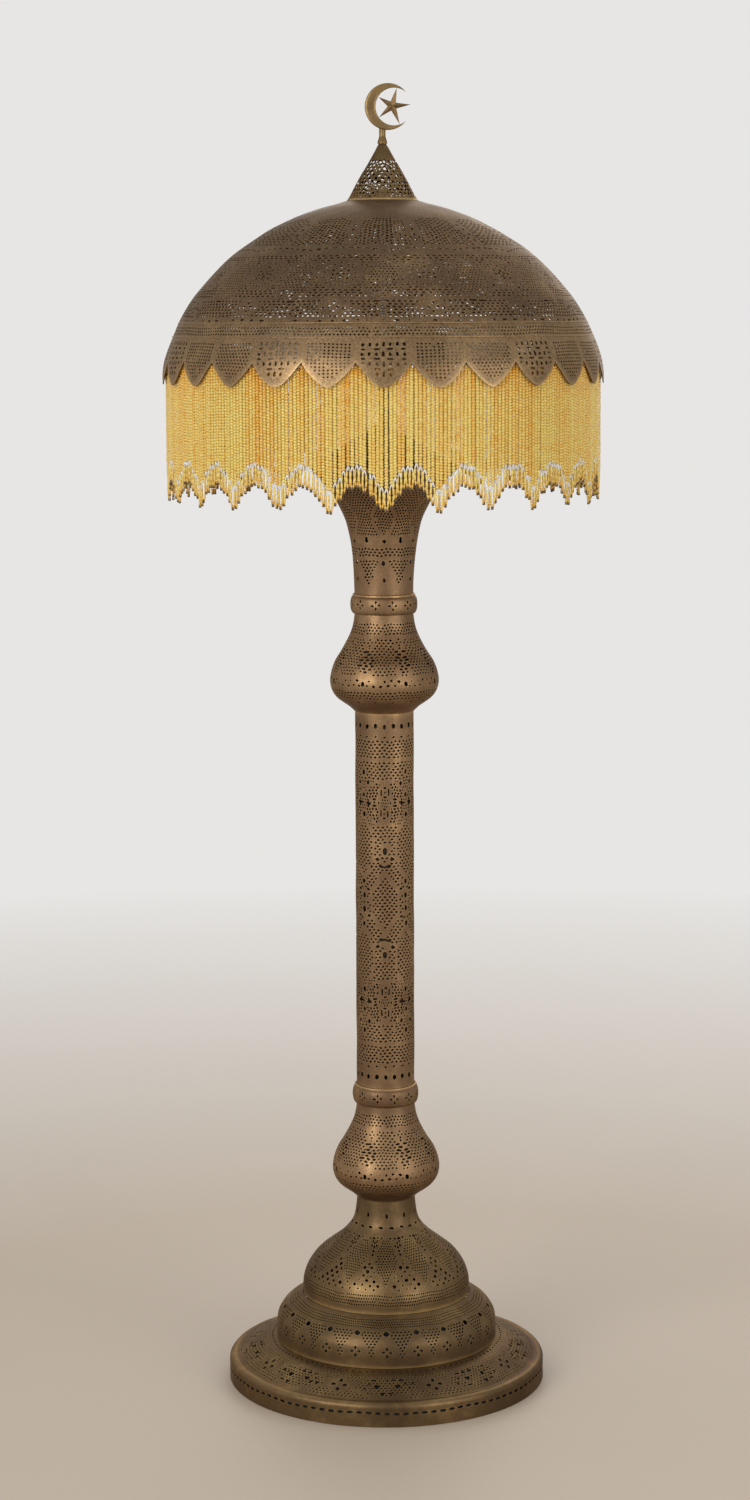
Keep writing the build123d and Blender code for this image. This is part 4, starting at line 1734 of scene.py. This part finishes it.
    def build(self, shop: Workshop) -> None:
        """Makes the rings of the dome, and the thin wires that part its lower bands."""
        super().build(shop)
        outline = self.outline()
        for number, level in enumerate(self.wires, 1):
            radius, height = outline.at(np.array([level]))
            section = wire_section(float(radius[0]), float(height[0]), self.wire)
            shop.mount(turned_ring(f"dome_wire_{number}", section, self.wire_columns), self.tone)


@dataclass
class ShadeLining:
    """A dark wall inside a pierced shell of the column, which closes the view through it: painted
    shade in place of the dark inside of the column.

    Attributes:
        least: Least radius of its outer face.
        depth: Distance inside the shell's outer face where there is room.
        wall: Its thickness.
        gap: Distance left at each end of the shell, for the discs in the joints.
        rows: Levels at which it is sampled.
        columns: Columns round it.
        wear_and_painted_light: How bright it is; below 0 it takes painted shade.
    """

    least: float = 30.5 * MM
    depth: float = 8.0 * MM
    wall: float = 1.0 * MM
    gap: float = 4.0 * MM
    rows: int = 24
    columns: int = 64
    wear_and_painted_light: float = -0.3

    def build(self, shop: Workshop, shell: PiercedShell) -> None:
        """Makes the wall: the shell's outline, moved inwards."""
        outline = shell.outline()
        _, low, high = span_of(shell.node)
        level = np.linspace(low + self.gap, high - self.gap, self.rows)
        outer = np.interp(level, outline.height, outline.radius) - self.depth
        outer = np.maximum(outer, self.least)
        rising = np.stack([outer, level], 1)
        falling = np.stack([outer - self.wall, level], 1)[::-1]
        section = np.vstack([rising, falling])
        # Painted shade: a dark wall in place of the shade inside the column.
        ring = turned_ring(f"{shell.node}_shade_lining", section, self.columns, self.wear_and_painted_light)
        shop.mount(ring, Tone.RISER)


@dataclass
class Fringe:
    """The curtain of bead strands and the loops that end them.

    Attributes:
        strands: Number of strands.
        bead: Width and height of a bead.
        low: Level of the lowest loops.
        arch: Height of the arches along the lower edge.
        loop: Length of a loop, and width between the middles of its sides.
        inset: Distance of the strands inside the node's greatest radius.
        dusk: Level above which the dome shades the glass, and height over which that grows.
        top_shadow: Height below the hoop where painted shadow starts to darken the glass, and
            height over which it grows.
        tip: Width of a tip bead, and its half height as a share of the loop's length.
        seed: Seed of the small irregularities.
    """

    strands: int = 338
    bead: tuple[float, float] = (5.2 * MM, 3.2 * MM)
    low: float = 1.0488
    arch: float = 29.0 * MM
    loop: tuple[float, float] = (26.0 * MM, 4.3 * MM)
    inset: float = 2.4 * MM
    dusk: tuple[float, float] = (1.165, 0.045)
    top_shadow: tuple[float, float] = (17.0 * MM, 13.0 * MM)
    tip: tuple[float, float] = (3.8 * MM, 0.075)
    seed: int = 7

    def build(self, shop: Workshop, lobes: int) -> None:
        """Makes the strands in four quarters, and the loops.

        The loops' tips follow the arches, one to each lobe of the dome: pointed below a lobe's tip
        and round between, as the sine of a quarter turn times the share of half a lobe.

        Args:
            shop: The workshop.
            lobes: Lobes of the dome's hem.
        """
        radius, _, top = span_of("bead_fringe")
        dice = np.random.default_rng(self.seed)
        count = self.strands
        turn = (np.arange(count) + 0.5 + dice.uniform(-0.06, 0.06, count)) * FULL_TURN / count
        pitch = FULL_TURN / lobes
        share = np.abs((turn + pitch / 2) % pitch - pitch / 2) / (pitch / 2)
        tips = self.low + self.arch * np.sin(share * math.pi / 2)
        tips = tips + dice.uniform(-2.6, 2.6, count) * MM
        lean = dice.normal(0, 0.5 * MM, (count, 2))
        hang = Hanging(turn, radius - self.inset, top, lean)
        self._strands(shop, hang, tips + self.loop[0], dice)
        self._loops(shop, hang, tips, dice)

    def _strands(
        self, shop: Workshop, hang: "Hanging", ends: Array, dice: np.random.Generator
    ) -> None:
        """The strings of beads above the loops, each bead and each strand of its own tint."""
        width, tall = self.bead
        number = np.floor((hang.top - ends) / tall).astype(int)
        strand = np.repeat(np.arange(len(number)), number)
        step = np.arange(len(strand)) - np.repeat(np.cumsum(number) - number, number)
        level = ends[strand] + (step + 0.5) * tall + dice.uniform(-0.15, 0.15, len(strand)) * MM
        axes = np.zeros((len(strand), 3))
        axes[:, 2] = 0.5 * tall
        axes[:, :2] = dice.normal(0, 0.15 * MM, (len(strand), 2))
        widths = width * dice.uniform(0.92, 1.04, len(strand))
        dusk, fade = self.dusk
        shaded = np.clip((level - dusk) / fade, 0, 1) * 0.35
        own = dice.normal(0, 0.15, len(number))[strand]
        tints = np.clip(shaded + 0.2 + own + dice.normal(0, 0.12, len(strand)), 0, 1)
        # Painted shadow: the glass just below the hoop, behind the dome's lobes, darkens towards
        # the colour of painted shadow.
        start, growth = self.top_shadow
        tints = tints + 0.3 * np.clip((level - hang.top + start) / growth, 0, 1)
        centres = hang.point(strand, level)
        bead = Bead(((0.66, -0.94), (1.0, 0.0), (0.66, 0.94)), 5)
        for part in range(4):
            here = strand * 4 // len(number) == part
            beads = (values[here] for values in (centres, axes, widths, tints))
            piece = bead.strung(f"fringe_strands_{part + 1}", *beads)
            shop.hang(piece, "shade", "bead_glass", "bead_fringe")

    def _loops(
        self, shop: Workshop, hang: "Hanging", tips: Array, dice: np.random.Generator
    ) -> None:
        """The loops: a clear bead and two bugles down each side, and a brown bead at the tip.

        A side runs through knots given as (share of half the loop's width, share of its length),
        and one long bead lies between each two knots. The kinds are (width in millimetres, tint).
        """
        tall, wide = self.loop
        knots = ((0.15, 0.04), (0.80, 0.28), (1.0, 0.53), (0.85, 0.77), (0.10, 1.0))
        kinds = ((2.7, 0.55), (2.9, 0.2), (2.8, 0.05), (2.1, 2.0))
        strand = np.arange(len(tips))
        twist = dice.normal(0, 0.35, len(tips))
        centres, axes, widths, tints = [], [], [], []
        for side in (-1, 1):
            across = hang.side(strand, twist) * side * wide / 2
            points = [hang.point(strand, tips + up * tall) + across * out for out, up in knots]
            for (thick, tint), low, high in zip(kinds, points, points[1:]):
                centres.append((low + high) / 2)
                axes.append((high - low) / 2 * 0.98)
                widths.append(np.full(len(tips), thick * MM))
                tints.append(tint + dice.uniform(-0.12, 0.25, len(tips)))
        tip_width, tip_share = self.tip
        centres.append(hang.point(strand, tips + tip_share * tall))
        axes.append(np.tile([0.0, 0.0, tip_share * tall], (len(tips), 1)))
        widths.append(np.full(len(tips), tip_width))
        tints.append(np.full(len(tips), 3.0))
        bugle = Bead(((0.8, -0.9), (0.8, 0.9)), 6)
        beads = (np.concatenate(values) for values in (centres, axes, widths, tints))
        piece = bugle.strung("fringe_loops", *beads)
        shop.hang(piece, "shade", "bead_glass")


@dataclass
class Hanging:
    """Where the strands hang.

    Attributes:
        turn: Angle of each strand from the front.
        radius: Distance of the hoop from the axis.
        top: Level of the hoop.
        lean: Offset of each strand at its full drop.
        drop: How far below the hoop the lean is full.
    """

    turn: Array
    radius: float
    top: float
    lean: Array
    drop: float = 0.16

    def point(self, strand: Array, level: Array) -> Array:
        """Place on some strands at some levels: straight down from the hoop, plus a small lean."""
        angle = self.turn[strand]
        flat = np.stack([np.sin(angle), -np.cos(angle)], 1) * self.radius
        flat = flat + self.lean[strand] * ((self.top - level) / self.drop)[:, None] * 0.8
        return np.column_stack([flat, level])

    def side(self, strand: Array, twist: Array) -> Array:
        """Unit vector along the hoop at some strands, turned a little about the plumb line."""
        angle = self.turn[strand] + twist
        return np.column_stack([np.cos(angle), np.sin(angle), 0 * angle])


@dataclass
class FinialCone(PiercedShell):
    """The cone over the dome's crown."""

    thickness: float = 1.0 * MM
    step: float = 1.3 * MM
    painted_shade: float = 1.0

    def outline(self) -> Outline:
        """A slightly hollow cone with a flared edge."""
        radius, low, high = span_of(self.node)
        rise = high - low
        return Outline.through(
            [
                (radius, low),
                (radius - 2.6 * MM, low + 3.4 * MM),
                (radius * 0.60 + 1.2 * MM, low + 0.415 * rise),
                (radius * 0.34 + 1.0 * MM, low + 0.70 * rise),
                (4.2 * MM, high),
            ]
        )

    def bands(self, outline: Outline) -> list[Band]:
        """One piece."""
        return stacked(self.node, (("pierced", 144),))

    def pattern(self, sheet: Sheet) -> Array:
        """Uneven round holes in the lower two thirds, fewer in a row as the cone narrows."""
        levels = (4 * MM, 0.32 * sheet.length, 0.72 * sheet.length)
        return any_of(
            *(
                within(sheet.shots(count, 4.6 * MM, 3.8 * MM, 0.2), sheet.band(low, high))
                for count, low, high in zip((40, 22), levels, levels[1:])
            )
        )

    def rubbed(self, sheet: Sheet) -> Array:
        """A bright edge round a dark cone."""
        return 1.6 * near(sheet.along, 2.4 * MM) - 0.42


@dataclass
class Crescent:
    """The crescent on the stem.

    Attributes:
        bore: Inner circle's radius as a share of the outer one's.
        shift: Its offset as a share of the outer radius.
        columns: Sections along the crescent.
        sides: Points round a section.
        roundness: Power of the section's rounded-off outline.
        ends: Share of the way to the horns' points that is made.
    """

    bore: float = 0.80
    shift: float = 0.27
    columns: int = 96
    sides: int = 20
    roundness: float = 0.55
    ends: float = 0.985

    def build(self, shop: Workshop) -> None:
        """Makes the crescent.

        Its middle line runs half way between the outer circle and the shifted inner one. Each
        section is as wide as the gap between them and thins towards the horns, and its outline is
        a circle whose cosine and sine are raised to a power, which makes it a rounded box.

        Args:
            shop: The workshop.
        """
        low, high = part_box("finial_crescent")
        outer = (high[2] - low[2]) / 2
        centre = np.array([low[0] + outer, 0.0, (low[2] + high[2]) / 2])
        horn = math.acos((1 + self.shift**2 - self.bore**2) / (2 * self.shift))
        angle = math.pi + np.linspace(-1, 1, self.columns) * (math.pi - horn) * self.ends
        across = self.shift * np.cos(angle)
        inner = across + np.sqrt(across**2 - self.shift**2 + self.bore**2)
        width = (1 - inner) / 2 * outer
        middle = (1 + inner) / 2 * outer
        thick = (high[1] - low[1]) / 2 * np.clip(width / width.max(), 0.02, 1) ** 0.45
        spin = np.arange(self.sides) * FULL_TURN / self.sides
        box_cos, box_sin = (
            np.sign(wave) * np.abs(wave) ** self.roundness for wave in (np.cos(spin), np.sin(spin))
        )
        out = middle[:, None] + width[:, None] * box_cos
        points = np.stack(
            [
                centre[0] + out * np.cos(angle)[:, None],
                centre[1] + thick[:, None] * box_sin,
                centre[2] + out * np.sin(angle)[:, None],
            ],
            2,
        ).reshape(-1, 3)
        index = np.arange(self.columns * self.sides).reshape(self.columns, self.sides)
        here, ahead = index[:-1], index[1:]
        faces = np.stack([here, np.roll(here, -1, 1), np.roll(ahead, -1, 1), ahead], 2)
        faces = faces.reshape(-1, 4)
        loops = np.concatenate([faces.ravel(), index[0][::-1], index[-1]])
        sizes = np.concatenate([np.full(len(faces), 4), [self.sides, self.sides]])
        piece = mesh_object("finial_crescent_cast", points, loops, sizes)
        vertex_values(piece, "wear_and_painted_light", np.tile(0.25 + 0.35 * np.abs(box_cos) ** 4, self.columns))
        shop.mount(piece, Tone.FINIAL, "finial_crescent")


# ---------------------------------------------------------------------------------------------
# Studio
# ---------------------------------------------------------------------------------------------


SENSOR = 36.0  # longer side of the camera's sensor, in millimetres
SEEN_RAYS = ("Is Camera Ray", "Is Glossy Ray", "Is Transmission Ray")


@dataclass
class Studio:
    """Floor, light and camera.

    Attributes:
        focal: Focal length in pixels of the frame.
        frame_height: Height of the frame in pixels.
        distance: Distance from the camera to the lamp's axis.
        height: Height of the camera.
        tilt: How far the camera looks down, in degrees.
        roll: How far it leans, in degrees.
        offset: How far it stands to the left of the axis.
        pale: Colour of the background.
        lamplight: Colour of the soft lights.
        daylight: Colour of the light from all round.
        strength: Its strength.
        reach: Distance from the lamp to the floor's sides.
        fade: Distances from the lamp between which the floor turns into the background.
    """

    focal: float = 3050.0
    frame_height: int = 1500
    distance: float = 3.5426
    height: float = 1.2601
    tilt: float = 8.06
    roll: float = 0.222
    offset: float = 11.1 * MM
    pale: Colour = (0.80, 0.79, 0.775)
    lamplight: Colour = (1.0, 0.975, 0.94)
    daylight: Colour = (1.0, 0.985, 0.96)
    strength: float = 0.62
    reach: float = 12.0
    fade: tuple[float, float] = (0.7, 3.2)

    def camera(self) -> None:
        """Sets the camera at its place, looking a little down."""
        data = bpy.data.cameras.new("camera")
        data.sensor_width = SENSOR
        data.lens = self.focal * SENSOR / self.frame_height
        data.clip_end = 60.0
        camera = bpy.data.objects.new("camera", data)
        camera.location = (-self.offset, -self.distance, self.height)
        look = Euler((math.radians(90 - self.tilt), 0.0, 0.0)).to_matrix()
        spin = Euler((0.0, 0.0, math.radians(-self.roll))).to_matrix()
        camera.rotation_euler = (look @ spin).to_euler()
        bpy.context.scene.collection.objects.link(camera)
        bpy.context.scene.camera = camera

    def soft_light(self, name: str, place: Point, aim: float, size: float, power: float) -> None:
        """Adds a square soft light that faces the lamp.

        Args:
            name: Name of the light.
            place: Where it stands.
            aim: Level of the point on the lamp's axis that it faces.
            size: Length of its sides.
            power: Its power in watts.
        """
        data = bpy.data.lights.new(name, "AREA")
        data.size = size
        data.energy = power
        data.color = self.lamplight
        made = bpy.data.objects.new(name, data)
        made.location = place
        direction = Vector((0.0, 0.0, aim)) - Vector(place)
        made.rotation_euler = direction.to_track_quat("-Z", "Y").to_euler()
        bpy.context.scene.collection.objects.link(made)

    def room(self) -> None:
        """A pale room: plain light on the lamp, and the background where it is seen or mirrored."""
        world = bpy.data.worlds.new("room")
        bpy.context.scene.world = world
        world.use_nodes = True
        tree = world.node_tree
        light = tree.nodes["Background"]
        light.inputs["Color"].default_value = (*self.daylight, 1.0)
        light.inputs["Strength"].default_value = self.strength
        seen = tree.nodes.new("ShaderNodeBackground")
        seen.inputs["Color"].default_value = (*self.pale, 1.0)
        path = tree.nodes.new("ShaderNodeLightPath")
        total = path.outputs[SEEN_RAYS[0]]
        for name in SEEN_RAYS[1:]:
            added = tree.nodes.new("ShaderNodeMath")
            tree.links.new(total, added.inputs[0])
            tree.links.new(path.outputs[name], added.inputs[1])
            added.use_clamp = True
            total = added.outputs[0]
        mix = tree.nodes.new("ShaderNodeMixShader")
        tree.links.new(total, mix.inputs[0])
        tree.links.new(light.outputs[0], mix.inputs[1])
        tree.links.new(seen.outputs[0], mix.inputs[2])
        tree.links.new(mix.outputs[0], tree.nodes["World Output"].inputs["Surface"])

    def floor(self) -> None:
        """A wide floor that takes the lamp's shadow and turns into the background further off."""
        corners = np.array([(-1, -1, 0), (1, -1, 0), (1, 1, 0), (-1, 1, 0)], float) * self.reach
        floor = mesh_object("studio_floor", corners, np.arange(4), np.array([4]), False)
        graph = Graph("studio_floor")
        cloud = graph.noise(1.2, 3.0)
        colour = graph.mix(cloud.ramp(0.3, 0.8), (0.52, 0.44, 0.36), (0.48, 0.405, 0.325))
        surface = graph.node("ShaderNodeBsdfPrincipled", Base_Color=colour, Roughness=0.6)
        length = {"operation": "LENGTH"}
        distance = graph.node("ShaderNodeVectorMath", length, graph.place(), out="Value")
        rays = [graph.node("ShaderNodeLightPath", out=name) for name in SEEN_RAYS]
        glow = graph.node("ShaderNodeEmission", Color=(*self.pale, 1.0))
        share = distance.ramp(*self.fade) * (rays[0] + rays[1] + rays[2]).clamped()
        floor.data.materials.append(graph.finish(graph.blend(share, surface, glow)))

    def set_up(self) -> None:
        """Camera first, then light and floor."""
        bpy.context.scene.view_settings.view_transform = "Standard"
        self.camera()
        self.soft_light("window", (-2.4, -3.0, 1.9), aim=0.9, size=2.2, power=72.0)
        self.soft_light("room", (2.8, -2.8, 1.5), aim=0.8, size=2.4, power=45.0)
        self.soft_light("back", (0.6, 3.0, 2.2), aim=1.0, size=2.2, power=24.0)
        self.room()
        self.floor()


BRASSES = (
    Brass(
        Tone.SHADE,
        metal=(0.34, 0.225, 0.11),
        patina=(0.128, 0.078, 0.041),
        grime=(0.058, 0.036, 0.02),
        roughness=0.46,
        cloud=7.0,
        dust=0.16,
        rim=(0.52, 0.44, 0.36),
        fleck=0.7,
    ),
    Brass(
        Tone.COLUMN,
        metal=(0.50, 0.32, 0.15),
        patina=(0.215, 0.13, 0.068),
        grime=(0.105, 0.062, 0.033),
        roughness=0.44,
        cloud=10.0,
    ),
    Brass(
        Tone.FOOT,
        metal=(0.38, 0.255, 0.105),
        patina=(0.128, 0.079, 0.036),
        grime=(0.062, 0.039, 0.019),
        roughness=0.42,
        cloud=9.0,
    ),
    Brass(
        Tone.FINIAL,
        metal=(0.48, 0.33, 0.15),
        patina=(0.19, 0.12, 0.052),
        grime=(0.09, 0.057, 0.026),
        roughness=0.38,
        cloud=30.0,
        dust=0.05,
    ),
    Brass(
        Tone.RISER,
        metal=(0.17, 0.11, 0.06),
        patina=(0.06, 0.04, 0.024),
        grime=(0.03, 0.02, 0.013),
        roughness=0.45,
        cloud=20.0,
        dust=0.05,
    ),
)

PLAINS = (
    Plain("steel", (0.50, 0.50, 0.49), (0.40, 0.40, 0.39), 0.34, 1.0, scale=220.0, bump=0.1),
    Plain("iron", (0.06, 0.06, 0.06), (0.11, 0.10, 0.095), 0.72, 0.2, scale=260.0, bump=0.6),
    Plain("felt", (0.07, 0.10, 0.075), (0.12, 0.15, 0.12), 0.95, scale=1400.0, bump=0.7),
    Plain("black_plastic", (0.022, 0.02, 0.02), (0.045, 0.04, 0.038), 0.42),
    Plain("liner_paper", (0.46, 0.33, 0.20), (0.36, 0.25, 0.15), 0.9, scale=500.0, bump=0.4),
    Plain("cap_metal", (0.75, 0.75, 0.74), (0.62, 0.62, 0.61), 0.3, 1.0, scale=200.0, bump=0.1),
)


def all_finishes() -> dict[str, bpy.types.Material]:
    """Every finish by the record's slot."""
    finishes = {brass.tone.slot: brass.material() for brass in BRASSES}
    finishes.update({plain.name: plain.material() for plain in PLAINS})
    finishes["bead_glass"] = AmberGlass().material()
    finishes["bulb_glass"] = Frosted().material()
    return finishes


def dress_nodes(frame: dict, shop: Workshop) -> None:
    """Gives every carried-over node the finish of its material slot."""
    for row in frame["record"]["subparts"]:
        node = frame["nodes"][row["node"]]
        node.data.materials.clear()
        node.data.materials.append(shop.finishes[row["material_slot"]])


def main() -> None:
    """Builds the lamp around its frame."""
    logging.basicConfig(level=logging.INFO, format="%(name)s %(message)s")
    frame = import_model()
    Studio().set_up()
    shop = Workshop(all_finishes())
    dress_nodes(frame, shop)
    column = [
        Bell("base_bell", Tone.FOOT),
        Knop("lower_knop", Tone.COLUMN),
        Collar("lower_collar", Tone.COLUMN, step=1.3 * MM),
        Tube("column_tube", Tone.COLUMN),
        Knop("upper_knop", Tone.COLUMN),
        Collar("upper_collar", Tone.COLUMN, step=1.3 * MM),
        Neck("trumpet_neck", Tone.COLUMN),
    ]
    foot = [Tray("base_tray", Tone.FOOT), Drum("base_drum", Tone.FOOT)]
    dome = Dome("shade_dome", Tone.SHADE)
    for shell in [*foot, *column, dome, FinialCone("finial_cone", Tone.FINIAL)]:
        shell.build(shop)
    # Dark walls of painted shade inside the column's shells.
    for shell in column:
        ShadeLining().build(shop, shell)
    Fringe().build(shop, dome.lobes)
    Crescent().build(shop)
    log.info("all pieces: %d triangles", sum(shop.made.values()))


if __name__ == "__main__":
    main()
